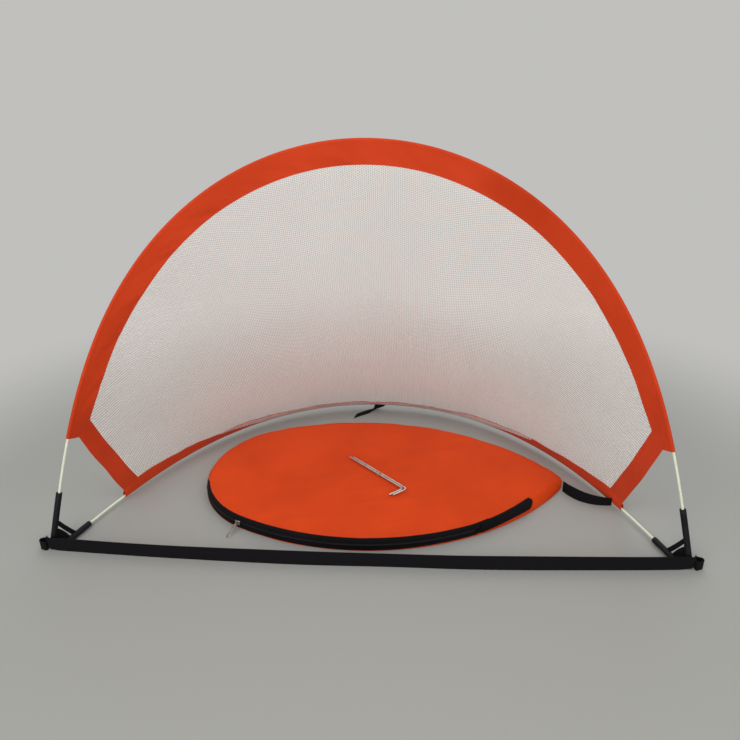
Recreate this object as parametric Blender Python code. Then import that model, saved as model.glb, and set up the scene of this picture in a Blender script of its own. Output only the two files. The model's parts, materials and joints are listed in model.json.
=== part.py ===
"""Folding goal: two bowed rods, a sewn net, corner webbing, and its carry bag and pegs.

Metres, +Z up. The origin is the middle of the goal line, on the ground under the ground
strap. +X runs along the goal line and +Y runs back, away from the mouth.
"""
import math

import bmesh
import bpy
import numpy as np
from mathutils import Matrix, Vector

# Rods: each bends like a strung bow, pinned at the two front corners
ROD_RADIUS = 0.0025
FRONT_HALF_SPAN = 0.600
FRONT_END_ANGLE = math.radians(78.75)
FRONT_LEAN = math.radians(75.6)
CORNER_STEP = 0.018
BASE_HALF_SPAN = FRONT_HALF_SPAN - CORNER_STEP
BASE_END_ANGLE = math.radians(68.4)
BASE_LEAN = math.radians(1.0)
ROD_INSET = 0.007
BOW_STEPS = 480

# Plastic end tubes over the rod ends
TUBE_RADIUS = 0.00575
TUBE_BORE_CLEARANCE = 0.0003
FRONT_TUBE_LENGTH = 0.111
BASE_TUBE_LENGTH = 0.074
TUBE_RIM_ROUND = 0.0007

# Webbing
WEB_THICKNESS = 0.0016
GROUND_STRAP_HEIGHT = 0.030
GROUND_STRAP_FLAT = 0.020
CORNER_LINE_Y = 0.024
STAY_NEAR = 0.046
STAY_WIDTH = 0.011
STAY_SLACK = 0.002
GUSSET_NEAR = 0.016
GUSSET_FAR = 0.034
GUSSET_CROWN = 0.003
PEG_LOOP_REACH = 0.016
PEG_LOOP_WIDTH = 0.017
PEG_LOOP_ROOT_ROUND = 0.0035
PEG_LOOP_TIP_ROUND = 0.0055
PEG_LOOP_HEIGHT = 0.020
TETHER_WIDTH = 0.025
TETHER_HANG = 0.0055
TETHER_TOP_SHARE = 0.24
TETHER_TWIST = 0.25
BACK_TETHER_X = 0.002
TETHER_PLACE = 0.885
TETHER_BEND = (-0.051, 0.012)
TETHER_END_GAP = 0.007
TETHER_SHORT_HEIGHT = 0.010
TETHER_RISE = 0.060

# Sewn cloth: sleeves round the rods, corner bands and the net between them
CLOTH_THICKNESS = 0.0012
NET_THICKNESS = 0.0010
SLEEVE_WIDTH = 0.040
SLEEVE_CLEARANCE = 0.00035
SLEEVE_WALL = 0.0007
SLEEVE_THROAT = 0.009
FRONT_SLEEVE_START = 0.222
FRONT_BAND_RUN = 0.036
BASE_SLEEVE_START = 0.172
BASE_BAND_RUN = 0.040
SLEEVE_END_SHARE = 0.5
FRONT_SLEEVE_LOW_WIDTH = 0.036
BASE_SLEEVE_LOW_WIDTH = 0.026
FRONT_FLAP_TILT = math.radians(12.0)
FRONT_FLAP_END_TILT = math.radians(82.0)
NET_SAG_SHARE = 0.20
SEAM_GAP = 0.0004
BAND_SEAM_GAP = 0.0008
BAND_STEPS = 4
NET_STEPS = 34
NET_ROWS = 8

# Carry bag: two end arcs joined by a front and a back arc, lying empty on the ground
BAG_LEFT_Y = 0.267
BAG_LEFT_GAP = 0.1185
BAG_LEFT_RADIUS = 0.188
BAG_RIGHT_Y = 0.273
BAG_RIGHT_GAP = 0.0600
BAG_RIGHT_RADIUS = 0.037
BAG_FRONT_RADIUS = 0.519
BAG_FRONT_GAP = 0.04141
BAG_BACK_RADIUS = 0.541
BAG_BOTTOM_THICKNESS = 0.0035
BAG_HEIGHT = 0.026
BAG_EDGE_ROUND = 0.005
BAG_ARC_STEPS = 14

# Zip along the front of the bag, measured from the bag's outline
ZIP_HEIGHT = 0.0135
ZIP_TAPE_INSET = 0.0015
ZIP_TAPE_THICKNESS = 0.0010
ZIP_TAPE_WIDTH = 0.0074
ZIP_COIL_RADIUS = 0.0013
ZIP_COIL_INSET = 0.0010
ZIP_START = math.radians(-165.0)
ZIP_END = math.radians(-64.0)
ZIP_STOP_ANGLE = math.radians(1.6)
ZIP_TAIL_START = math.radians(-63.0)
ZIP_TAIL_END = math.radians(-48.5)
ZIP_TAIL_INSET = 0.009
ZIP_TAIL_WIDTH = 0.018
SLIDER_ANGLE = math.radians(-117.7)
SLIDER_LENGTH = 0.012
SLIDER_HEIGHT = 0.0085
SLIDER_PLATE = 0.0014
SLIDER_FLANGE = 0.0009
LUG_WIRE = 0.0011
LUG_LENGTH = 0.0050
LUG_WIDTH = 0.0016
LUG_REACH = 0.0042
RING_RADIUS = 0.0032
RING_WIRE = 0.0006
RING_DROP = 0.0013
PULLER_LENGTH = 0.032
PULLER_WIDTH = 0.0070
PULLER_RIM = 0.0020
PULLER_THICKNESS = 0.0010
PULLER_TOP = 0.0022
PULLER_TIP_GAP = 0.0004

# Ground pegs, bundled and lying on the bag
PEG_RADIUS = 0.0020
PEG_LENGTH = 0.165
PEG_HOOK = 0.036
PEG_HOOK_ANGLE = math.radians(82.0)
PEG_BEND_RADIUS = 0.006
PEG_BEND_POINT = (0.079, 0.206)
PEG_HEADING = math.radians(136.5)
PEG_SPACING = 0.0052
TIE_DISTANCE = 0.080
TIE_WIDTH = 0.0040
TIE_THICKNESS = 0.0005

# Clearances
SEAT_GAP = 0.0003
RUN_GAP = 0.0003

CORNER_HEIGHT = TUBE_RADIUS + RUN_GAP
STRAP_END_Y = CORNER_LINE_Y - TUBE_RADIUS - RUN_GAP - WEB_THICKNESS / 2

COLOURS = {
    "orange_cloth": ((0.60, 0.055, 0.022), 0.75, 0.0),
    "bag_cloth": ((0.55, 0.052, 0.010), 0.75, 0.0),
    "net_mesh": ((0.62, 0.58, 0.52), 0.80, 0.0),
    "fibreglass": ((0.62, 0.66, 0.52), 0.35, 0.0),
    "black_plastic": ((0.012, 0.012, 0.016), 0.45, 0.0),
    "black_webbing": ((0.010, 0.009, 0.012), 0.80, 0.0),
    "zip_tape": ((0.012, 0.011, 0.014), 0.85, 0.0),
    "zip_coil": ((0.016, 0.015, 0.018), 0.50, 0.0),
    "chrome": ((0.75, 0.75, 0.77), 0.20, 1.0),
    "peg_steel": ((0.70, 0.70, 0.71), 0.28, 1.0),
    "tie_band": ((0.42, 0.24, 0.06), 0.55, 0.0),
}


class Bow:
    """A springy rod bent by its bowstring, in a plane that leans back from the ground."""

    def __init__(self, half_span, end_angle, lean):
        self.s, self.x, self.h, self.theta = bow_shape(half_span, end_angle)
        self.length = float(self.s[-1])
        self.rise = Vector((0.0, math.cos(lean), math.sin(lean)))
        self.normal = Vector((0.0, -math.sin(lean), math.cos(lean)))

    def at(self, s):
        """Centre, tangent and inward direction at the arc length s, straight past the ends."""
        inside = min(max(s, 0.0), self.length)
        theta = float(np.interp(inside, self.s, self.theta))
        across = Vector((1.0, 0.0, 0.0))
        tangent = across * math.cos(theta) + self.rise * math.sin(theta)
        inward = across * math.sin(theta) - self.rise * math.cos(theta)
        foot = Vector((0.0, CORNER_LINE_Y, CORNER_HEIGHT))
        centre = foot + across * float(np.interp(inside, self.s, self.x))
        centre += self.rise * float(np.interp(inside, self.s, self.h))
        return centre + tangent * (s - inside), tangent, inward


def bow_shape(half_span, end_angle):
    """Shape of a slender rod with pinned ends: its curvature grows with its height."""
    mean_a, mean_b = 1.0, math.cos(end_angle / 2)
    for _ in range(12):
        mean_a, mean_b = (mean_a + mean_b) / 2, math.sqrt(mean_a * mean_b)
    length = math.pi / mean_a
    step = length / BOW_STEPS

    def slope(state):
        return np.array([state[1], -math.sin(state[0]), math.cos(state[0]), math.sin(state[0])])

    state = np.array([end_angle, 0.0, 0.0, 0.0])
    rows = [state]
    for _ in range(BOW_STEPS):
        k1 = slope(state)
        k2 = slope(state + k1 * step / 2)
        k3 = slope(state + k2 * step / 2)
        k4 = slope(state + k3 * step)
        state = state + (k1 + 2 * k2 + 2 * k3 + k4) * step / 6
        rows.append(state)
    rows = np.array(rows)
    scale = 2 * half_span / rows[-1, 2]
    s = np.linspace(0.0, length, BOW_STEPS + 1) * scale
    return s, rows[:, 2] * scale - half_span, rows[:, 3] * scale, rows[:, 0]


def rod_reach(bow, y):
    """How far the bow's right half reaches in X where it passes the given Y."""
    half = [k for k in range(BOW_STEPS // 2, BOW_STEPS + 1)]
    places = [bow.at(float(bow.s[k]))[0] for k in half]
    depths = [place.y for place in reversed(places)]
    return float(np.interp(y, depths, [place.x for place in reversed(places)]))


def clear_scene():
    for obj in list(bpy.data.objects):
        bpy.data.objects.remove(obj, do_unlink=True)


def make_material(name):
    colour, roughness, metallic = COLOURS[name]
    material = bpy.data.materials.new(name)
    material.use_nodes = True
    shader = material.node_tree.nodes["Principled BSDF"]
    shader.inputs["Base Color"].default_value = (*colour, 1.0)
    shader.inputs["Roughness"].default_value = roughness
    shader.inputs["Metallic"].default_value = metallic
    material.diffuse_color = (*colour, 1.0)
    return material


def make_pivot(name, place, parent=None):
    pivot = bpy.data.objects.new(name, None)
    bpy.context.scene.collection.objects.link(pivot)
    pivot.parent = parent
    pivot.location = Vector(place) - (world_place(parent) if parent else Vector())
    pivot["world_place"] = list(place)
    return pivot


def world_place(pivot):
    return Vector(pivot["world_place"])


def add_piece(name, bm, material, pivot, sharp_angle=35.0):
    """Turn a bmesh in world coordinates into an object whose origin is its body's pivot."""
    bmesh.ops.recalc_face_normals(bm, faces=bm.faces)
    bmesh.ops.transform(bm, matrix=Matrix.Translation(-world_place(pivot)), verts=bm.verts)
    mesh = bpy.data.meshes.new(name)
    bm.to_mesh(mesh)
    bm.free()
    mesh.shade_smooth()
    mesh.set_sharp_from_angle(angle=math.radians(sharp_angle))
    mesh.materials.append(material)
    obj = bpy.data.objects.new(name, mesh)
    bpy.context.scene.collection.objects.link(obj)
    obj.parent = pivot
    return obj


def ring_verts(bm, points):
    return [bm.verts.new(point) for point in points]


def bridge(bm, ring_a, ring_b, closed=True):
    count = len(ring_a)
    for i in range(count if closed else count - 1):
        j = (i + 1) % count
        bm.faces.new((ring_a[i], ring_a[j], ring_b[j], ring_b[i]))


def circle_points(centre, axis_u, axis_v, radius, count):
    steps = [2 * math.pi * i / count for i in range(count)]
    return [centre + (axis_u * math.cos(a) + axis_v * math.sin(a)) * radius for a in steps]


def lofted_rings(rings):
    """Closed body through rings of equal count. A single point closes an end as a pole."""
    bm = bmesh.new()
    loops = [ring_verts(bm, ring) for ring in rings]
    for a, b in zip(loops, loops[1:]):
        if len(a) == 1:
            for i in range(len(b)):
                bm.faces.new((a[0], b[i], b[(i + 1) % len(b)]))
        elif len(b) == 1:
            for i in range(len(a)):
                bm.faces.new((a[i], a[(i + 1) % len(a)], b[0]))
        else:
            bridge(bm, a, b)
    for loop in (loops[0], loops[-1]):
        if len(loop) > 2:
            bm.faces.new(loop)
    return bm


def shell_between(outer_rings, inner_rings):
    """Closed pipe wall: outer and inner rings of equal count, joined at both ends."""
    bm = bmesh.new()
    outer = [ring_verts(bm, ring) for ring in outer_rings]
    inner = [ring_verts(bm, ring) for ring in inner_rings]
    for loops in (outer, inner):
        for a, b in zip(loops, loops[1:]):
            bridge(bm, a, b)
    bridge(bm, outer[0], inner[0])
    bridge(bm, outer[-1], inner[-1])
    return bm


def patch_solid(grid, thickness):
    """Sheet of even thickness about a grid of points, closed along its four edges."""
    points = np.array([[tuple(p) for p in row] for row in grid])
    along = np.gradient(points, axis=0)
    across = np.gradient(points, axis=1)
    normals = np.cross(along, across)
    normals /= np.linalg.norm(normals, axis=2)[:, :, None]
    bm = bmesh.new()
    sides = []
    for sign in (0.5, -0.5):
        shifted = points + normals * thickness * sign
        sides.append([[bm.verts.new(p) for p in row] for row in shifted])
    for side in sides:
        for a, b in zip(side, side[1:]):
            bridge(bm, a, b, closed=False)
    rows, columns = len(grid), len(grid[0])
    border = [(i, 0) for i in range(rows)] + [(rows - 1, j) for j in range(1, columns)]
    border += [(i, columns - 1) for i in range(rows - 2, -1, -1)]
    border += [(0, j) for j in range(columns - 2, 0, -1)]
    bridge(bm, [sides[0][i][j] for i, j in border], [sides[1][i][j] for i, j in border])
    return bm


def prism(outline, low, high, hole=None):
    """Upright prism over a plan outline of (x, y) pairs, with a matching hole outline."""
    def ring(points, z):
        return [Vector((x, y, z)) for x, y in points]

    if hole is None:
        return lofted_rings([ring(outline, low), ring(outline, high)])
    return shell_between([ring(outline, low), ring(outline, high)],
                         [ring(hole, low), ring(hole, high)])


def support_outline(circles, inset, count):
    """Outline of the hull of circles (x, y, radius), each drawn in by the inset."""
    points = []
    for i in range(count):
        angle = 2 * math.pi * (i + 0.5) / count
        out = (math.cos(angle), math.sin(angle))
        best = max(circles, key=lambda c: c[0] * out[0] + c[1] * out[1] + c[2] - inset)
        points.append((best[0] + out[0] * (best[2] - inset), best[1] + out[1] * (best[2] - inset)))
    return points


def make_rod(bow, stations):
    """Fibreglass rod through the given stations, its ends inside the end tubes."""
    rings = []
    for s in stations:
        centre, tangent, inward = bow.at(s)
        rings.append(circle_points(centre, inward, tangent.cross(inward), ROD_RADIUS, 8))
    return lofted_rings(rings)


def make_end_tube(bow, length, from_left):
    """Blind tube with a round closed end on the corner line, and the rod in its bore."""
    bore = (ROD_RADIUS + TUBE_BORE_CLEARANCE) / math.cos(math.pi / 12)
    body_steps = [length * k / 4 for k in range(1, 4)]
    profile = [(-TUBE_RADIUS, 0.0)]
    profile += [(-TUBE_RADIUS * math.cos(a), TUBE_RADIUS * math.sin(a))
                for a in (math.pi / 6, math.pi / 3, math.pi / 2)]
    profile += [(s, TUBE_RADIUS) for s in body_steps]
    profile += [(length - TUBE_RIM_ROUND, TUBE_RADIUS), (length, TUBE_RADIUS - TUBE_RIM_ROUND)]
    profile += [(length, bore)]
    profile += [(s, bore) for s in reversed(body_steps)]
    profile += [(ROD_INSET - RUN_GAP, bore), (ROD_INSET - RUN_GAP, 0.0)]
    rings = []
    for s, radius in profile:
        centre, tangent, inward = bow.at(s if from_left else bow.length - s)
        if radius == 0.0:
            rings.append([centre])
        else:
            rings.append(circle_points(centre, inward, tangent.cross(inward), radius, 12))
    return lofted_rings(rings)


def mirrored_steps(start, run, length, steps, inner_steps):
    """Arc lengths along a sewn edge: a band at each end and the net between them."""
    band = [start + run * k / steps for k in range(steps + 1)]
    middle_run = length - 2 * (start + run)
    middle = [start + run + middle_run * k / inner_steps for k in range(1, inner_steps)]
    return band + middle + [length - s for s in reversed(band)]


def sleeve_width(s, length, start, run, low_width):
    """Width of the sleeve: tapered to the corners, and cut slanting where the bands meet it."""
    middle = math.sin(math.pi * s / length)
    share = (min(s, length - s) - start) / run
    share = min(max(share, 0.0), 1.0)
    full = low_width + (SLEEVE_WIDTH - low_width) * middle
    return full * (SLEEVE_END_SHARE + (1 - SLEEVE_END_SHARE) * share)


def net_pull(front_point, base_point):
    """Straight line up the net, and how far the middle of it hangs below that line."""
    line = front_point - base_point
    return line, NET_SAG_SHARE * math.hypot(line.x, line.y)


FRONT_BOW = Bow(FRONT_HALF_SPAN, FRONT_END_ANGLE, FRONT_LEAN)
BASE_BOW = Bow(BASE_HALF_SPAN, BASE_END_ANGLE, BASE_LEAN)


class SewnEdges:
    """Where the cloth lies: the rods' stations, sleeve directions and sleeve edges."""

    def __init__(self, front, base):
        self.front_s = mirrored_steps(FRONT_SLEEVE_START, FRONT_BAND_RUN, front.length,
                                      BAND_STEPS, NET_STEPS)
        self.base_s = mirrored_steps(BASE_SLEEVE_START, BASE_BAND_RUN, base.length,
                                     BAND_STEPS, NET_STEPS)
        self.front = [self.front_frame(front, s) for s in self.front_s]
        self.base = [self.base_frame(base, s, frame[0])
                     for s, frame in zip(self.base_s, self.front)]

    def front_frame(self, bow, s):
        centre, tangent, inward = bow.at(s)
        share = 1 - math.sin(math.pi * s / bow.length)
        tilt = FRONT_FLAP_TILT + (FRONT_FLAP_END_TILT - FRONT_FLAP_TILT) * share
        flap = inward * math.cos(tilt) - bow.normal * math.sin(tilt)
        width = sleeve_width(s, bow.length, FRONT_SLEEVE_START, FRONT_BAND_RUN,
                             FRONT_SLEEVE_LOW_WIDTH)
        return centre, tangent, flap, width

    def base_frame(self, bow, s, front_centre):
        centre, tangent, _ = bow.at(s)
        line, sag = net_pull(front_centre, centre)
        pull = line - Vector((0.0, 0.0, 4 * sag))
        flap = (pull - tangent * pull.dot(tangent)).normalized()
        width = sleeve_width(s, bow.length, BASE_SLEEVE_START, BASE_BAND_RUN,
                             BASE_SLEEVE_LOW_WIDTH)
        return centre, tangent, flap, width


def sleeve_bore():
    return (ROD_RADIUS + SLEEVE_CLEARANCE) / math.cos(math.pi / 11)


def sleeve_hem():
    """Outer radius of the pocket round the rod."""
    return sleeve_bore() + SLEEVE_WALL


def make_sleeve(frames):
    """Pocket round the rod that closes to a doubled flap towards the net."""
    bore = sleeve_bore()
    hem = sleeve_hem()
    half = CLOTH_THICKNESS / 2
    around = [math.radians(52 + 256 * k / 6) for k in range(7)]
    inner_turns = [math.radians(26)] + around + [math.radians(334)]
    outer, inner = [], []
    for centre, tangent, flap, width in frames:
        side = tangent.cross(flap)
        section = [(width, half), (SLEEVE_THROAT, half)]
        section += [(hem * math.cos(a), hem * math.sin(a)) for a in around]
        section += [(SLEEVE_THROAT, -half), (width, -half)]
        outer.append([centre + flap * p + side * q for p, q in section])
        turns = [math.radians(9)] + inner_turns + [math.radians(351)]
        inner.append([centre + (flap * math.cos(a) + side * math.sin(a)) * bore for a in turns])
    return shell_between(outer, inner)


def cloth_line(front_frame, base_frame, rows, lead):
    """Points down one line of cloth from the base sleeve's edge to the front one's."""
    base_edge = base_frame[0] + base_frame[2] * (base_frame[3] + lead)
    front_edge = front_frame[0] + front_frame[2] * (front_frame[3] + lead)
    line, sag = net_pull(front_edge, base_edge)
    points = []
    for k in range(rows + 1):
        v = k / rows
        drop = Vector((0.0, 0.0, 4 * v * (1 - v) * sag))
        points.append(base_edge + line * v - drop)
    return points


def make_net(front, base, edges):
    """Net between the two sleeves, from one corner band to the other."""
    first, last = BAND_STEPS, BAND_STEPS + NET_STEPS
    grid = []
    for i in range(first, last + 1):
        nudge = BAND_SEAM_GAP if i == first else -BAND_SEAM_GAP if i == last else 0.0
        front_frame = edges.front_frame(front, edges.front_s[i] + nudge)
        base_frame = edges.base_frame(base, edges.base_s[i] + nudge, front_frame[0])
        grid.append(cloth_line(front_frame, base_frame, NET_ROWS, SEAM_GAP))
    return patch_solid(grid, NET_THICKNESS)


def make_corner_band(edges, from_left):
    """Slanting band that binds the net's open corner between the two sleeves."""
    order = range(BAND_STEPS + 1)
    if not from_left:
        order = range(BAND_STEPS + NET_STEPS, 2 * BAND_STEPS + NET_STEPS + 1)
    grid = [cloth_line(edges.front[i], edges.base[i], NET_ROWS, SEAM_GAP) for i in order]
    return patch_solid(grid, CLOTH_THICKNESS)


def ground_strap_path():
    """Plan points of the strap's mid line: round each front tube and slack between them."""
    wrap = TUBE_RADIUS + RUN_GAP + WEB_THICKNESS / 2
    left = []
    for k in range(7):
        angle = math.pi + math.pi / 2 * k / 6
        left.append((-FRONT_HALF_SPAN + wrap * math.cos(angle),
                     CORNER_LINE_Y + wrap * math.sin(angle)))
    free = FRONT_HALF_SPAN - GROUND_STRAP_FLAT
    middle = []
    for k in range(25):
        x = free * (k / 12 - 1)
        middle.append((x, STRAP_END_Y * (x / free) ** 2))
    right = [(-x, y) for x, y in reversed(left)]
    return left + middle + right


def ribbon(points, uprights, thickness):
    """Webbing along points: each row runs across the width, from -half to +half."""
    grid = [[point - up * 0.5, point + up * 0.5] for point, up in zip(points, uprights)]
    return patch_solid(grid, thickness)


def make_ground_strap():
    up = Vector((0.0, 0.0, GROUND_STRAP_HEIGHT))
    points = [Vector((x, y, GROUND_STRAP_HEIGHT / 2)) for x, y in ground_strap_path()]
    return ribbon(points, [up] * len(points), WEB_THICKNESS)


def corner_web(front, base, from_left, near, far, crown, columns):
    """Webbing between a front tube and a base tube, from near to far along both."""
    corner = front.at(0.0 if from_left else front.length)[0]
    corner = (corner + base.at(0.0 if from_left else base.length)[0]) / 2
    grid = []
    for reach in (near, far):
        a, front_way, _ = front.at(reach if from_left else front.length - reach)
        b, base_way, _ = base.at(reach if from_left else base.length - reach)
        across = (b - a).normalized()
        seat = TUBE_RADIUS + SEAT_GAP
        start = a + across * (seat / front_way.cross(across).length)
        end = b - across * (seat / base_way.cross(across).length)
        outward = ((start + end) / 2 - corner).normalized()
        row = []
        for j in range(columns + 1):
            t = j / columns
            row.append(start.lerp(end, t) + outward * (4 * t * (1 - t) * crown))
        grid.append(row)
    return patch_solid(grid, WEB_THICKNESS)


def make_peg_loop(side):
    """Loop of webbing on edge, sewn outside the corner, that a peg goes through."""
    root_x = FRONT_HALF_SPAN + TUBE_RADIUS + RUN_GAP + WEB_THICKNESS + SEAT_GAP
    half = PEG_LOOP_WIDTH / 2 - PEG_LOOP_ROOT_ROUND
    circles = [(root_x + PEG_LOOP_ROOT_ROUND, CORNER_LINE_Y - half, PEG_LOOP_ROOT_ROUND),
               (root_x + PEG_LOOP_ROOT_ROUND, CORNER_LINE_Y + half, PEG_LOOP_ROOT_ROUND),
               (root_x + PEG_LOOP_REACH - PEG_LOOP_TIP_ROUND, CORNER_LINE_Y, PEG_LOOP_TIP_ROUND)]
    outer = support_outline(circles, 0.0, 24)
    inner = support_outline(circles, WEB_THICKNESS, 24)
    outer = [(side * x, y) for x, y in outer]
    inner = [(side * x, y) for x, y in inner]
    return prism(outer, 0.0, PEG_LOOP_HEIGHT, inner)


def make_tether(points, widths):
    """Loose webbing end: a ribbon through points, with its width vector at each."""
    return ribbon([Vector(p) for p in points], [Vector(w) for w in widths], WEB_THICKNESS)


def make_back_tether(base):
    """Webbing end that hangs from the middle of the base sleeve and lies on the ground."""
    middle = base.at(base.length / 2)[0]
    seat = middle.y - sleeve_hem() - SEAT_GAP - WEB_THICKNESS / 2
    top = Vector((BACK_TETHER_X, seat, middle.z))
    points, widths = [], []
    for k in range(9):
        t = k / 8
        side = 0.010 - 0.060 * t
        fall = (1 - math.cos(math.pi * min(t * 1.15, 1.0))) / 2
        turn = math.radians(80) * (1 - fall)
        half = TETHER_WIDTH / 2 * (TETHER_TOP_SHARE + (1 - TETHER_TOP_SHARE) * t)
        width = Vector((TETHER_TWIST, math.cos(turn), math.sin(turn))).normalized() * 2 * half
        rest = WEB_THICKNESS / 2 + abs(width.z) / 2
        height = max(rest, (top.z - TETHER_HANG) * (1 - fall))
        points.append((top.x + side, top.y - 0.034 * fall, height))
        widths.append(tuple(width))
    return make_tether(points, widths)


def make_side_tether(base):
    """Webbing end that stands on edge between the base sleeve and the bag's right tip."""
    count = 9
    reach = base.length * TETHER_PLACE
    centre, _, inward = base.at(reach)
    start = centre + inward * (sleeve_hem() + SEAT_GAP)
    _, tip = bag_end_centres()
    end = Vector((tip.x + BAG_RIGHT_RADIUS + TETHER_END_GAP, tip.y - TETHER_END_GAP, 0.0))
    control = start + Vector((*TETHER_BEND, 0.0))
    points, widths = [], []
    for k in range(count):
        t = k / (count - 1)
        place = start.lerp(control, t).lerp(control.lerp(end, t), t)
        tall = min(TETHER_WIDTH, TETHER_SHORT_HEIGHT + TETHER_RISE * t)
        points.append((place.x, place.y, tall / 2))
        widths.append((0.0, 0.0, tall))
    return make_tether(points, widths)


def bag_centres():
    """Centres of the left, right, front and back arcs: named gaps inside the rod and line."""
    left = Vector((BAG_LEFT_GAP + BAG_LEFT_RADIUS - rod_reach(BASE_BOW, BAG_LEFT_Y), BAG_LEFT_Y))
    right = Vector((rod_reach(BASE_BOW, BAG_RIGHT_Y) - BAG_RIGHT_GAP - BAG_RIGHT_RADIUS,
                    BAG_RIGHT_Y))
    span = (right - left).length
    along = (right - left) / span
    back = Vector((-along.y, along.x))
    centres = []
    for radius, side in ((BAG_FRONT_RADIUS, 1), (BAG_BACK_RADIUS, -1)):
        to_left, to_right = radius - BAG_LEFT_RADIUS, radius - BAG_RIGHT_RADIUS
        x = (span ** 2 + to_left ** 2 - to_right ** 2) / (2 * span)
        centres.append(left + along * x + back * side * math.sqrt(to_left ** 2 - x ** 2))
    front, rear = centres
    shift = Vector((0.0, BAG_FRONT_GAP + BAG_FRONT_RADIUS - front.y))
    return left + shift, right + shift, front + shift, rear + shift


def bag_end_centres():
    return bag_centres()[:2]


def bag_arcs():
    """The outline's arcs as (centre, radius, first and last outward angle), turning left."""
    left, right, front, rear = bag_centres()

    def heading(a, b):
        return math.atan2(b.y - a.y, b.x - a.x)

    front_left, front_right = heading(front, left), heading(front, right)
    rear_right, rear_left = heading(rear, right), heading(rear, left)
    return [(front, BAG_FRONT_RADIUS, front_left, front_right),
            (right, BAG_RIGHT_RADIUS, front_right, rear_right),
            (rear, BAG_BACK_RADIUS, rear_right, rear_left),
            (left, BAG_LEFT_RADIUS, rear_left, front_left + 2 * math.pi)]


BAG_ARCS = bag_arcs()


def bag_edge(angle, inset=0.0):
    """Point of the bag's outline where it faces the given angle, drawn in by the inset."""
    for centre, radius, first, last in BAG_ARCS:
        for turned in (angle, angle + 2 * math.pi):
            if first <= turned <= last:
                out = Vector((math.cos(angle), math.sin(angle)))
                return centre + out * (radius - inset)
    raise ValueError("no arc faces this way")


def bag_outline(inset):
    points = []
    for centre, radius, first, last in BAG_ARCS:
        for k in range(BAG_ARC_STEPS):
            angle = first + (last - first) * k / BAG_ARC_STEPS
            out = Vector((math.cos(angle), math.sin(angle)))
            points.append(centre + out * (radius - inset))
    return points


def bag_layers(layers):
    """Closed body through (inset, height) layers of the bag's outline."""
    return lofted_rings([[Vector((p.x, p.y, z)) for p in bag_outline(inset)]
                         for inset, z in layers])


def make_bag_bottom():
    return bag_layers([(0.0005, 0.0), (0.0, 0.0008), (0.0, BAG_BOTTOM_THICKNESS)])


def make_bag_top():
    """Upper panel of the empty bag, its rim drawn in behind the zip."""
    rim = ZIP_TAPE_INSET + ZIP_TAPE_THICKNESS + SEAT_GAP
    low = BAG_BOTTOM_THICKNESS + SEAT_GAP
    turn = BAG_EDGE_ROUND
    layers = [(rim, low), (rim, BAG_HEIGHT - turn)]
    for k in range(1, 4):
        angle = math.pi / 2 * k / 3
        layers.append((rim + turn * (1 - math.cos(angle)),
                       BAG_HEIGHT - turn * (1 - math.sin(angle))))
    return bag_layers(layers)


def zip_angles(first, last, steps):
    return [first + (last - first) * k / steps for k in range(steps + 1)]


def make_zip_tape(upper):
    """One side's tape: it stands against the bag's edge, clear of the teeth."""
    near = ZIP_COIL_RADIUS + SEAT_GAP
    low, high = near, near + ZIP_TAPE_WIDTH
    if not upper:
        low, high = -high, -low
    inset = ZIP_TAPE_INSET + ZIP_TAPE_THICKNESS / 2
    grid = []
    for angle in zip_angles(ZIP_START, ZIP_END, 44):
        place = bag_edge(angle, inset)
        grid.append([Vector((place.x, place.y, ZIP_HEIGHT + z)) for z in (low, high)])
    return patch_solid(grid, ZIP_TAPE_THICKNESS)


def zip_cord(first, last, steps, radius, sides):
    rings = []
    for angle in zip_angles(first, last, steps):
        place = bag_edge(angle, ZIP_COIL_INSET)
        out = Vector((math.cos(angle), math.sin(angle), 0.0))
        centre = Vector((place.x, place.y, ZIP_HEIGHT))
        rings.append(circle_points(centre, out, Vector((0.0, 0.0, 1.0)), radius, sides))
    return lofted_rings(rings)


def make_zip_chain():
    """The closed teeth, as the round cord that a coil zip makes."""
    gap = SEAT_GAP / BAG_LEFT_RADIUS
    return zip_cord(ZIP_START + ZIP_STOP_ANGLE + gap, ZIP_END, 44, ZIP_COIL_RADIUS, 8)


def make_zip_stop():
    """Metal stop where the slider comes to rest with the zip closed."""
    return zip_cord(ZIP_START, ZIP_START + ZIP_STOP_ANGLE, 2, ZIP_COIL_RADIUS, 8)


def make_zip_tail():
    """End of the zip tape, folded over onto the bag's top and sewn down."""
    height = BAG_HEIGHT + SEAT_GAP + ZIP_TAPE_THICKNESS
    grid = []
    for angle in zip_angles(ZIP_TAIL_START, ZIP_TAIL_END, 8):
        near = bag_edge(angle, ZIP_TAIL_INSET)
        far = bag_edge(angle, ZIP_TAIL_INSET + ZIP_TAIL_WIDTH)
        grid.append([Vector((p.x, p.y, height)) for p in (near, far)])
    return patch_solid(grid, 2 * ZIP_TAPE_THICKNESS)


def cell_solid(axes, breaks, origin, filled):
    """Closed body from the filled cells of a rectangular grid set in a local frame."""
    bm = bmesh.new()
    corners = {}

    def corner(key):
        if key not in corners:
            place = Vector(origin)
            for axis, values, index in zip(axes, breaks, key):
                place += axis * values[index]
            corners[key] = bm.verts.new(place)
        return corners[key]

    for cell in filled:
        for axis in range(3):
            for side in (0, 1):
                beside = list(cell)
                beside[axis] += 1 if side else -1
                if tuple(beside) in filled:
                    continue
                b, c = [k for k in range(3) if k != axis]
                ring = []
                for db, dc in ((0, 0), (1, 0), (1, 1), (0, 1)):
                    key = list(cell)
                    key[axis] += side
                    key[b] += db
                    key[c] += dc
                    ring.append(corner(tuple(key)))
                bm.faces.new(ring)
    return bm


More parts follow.
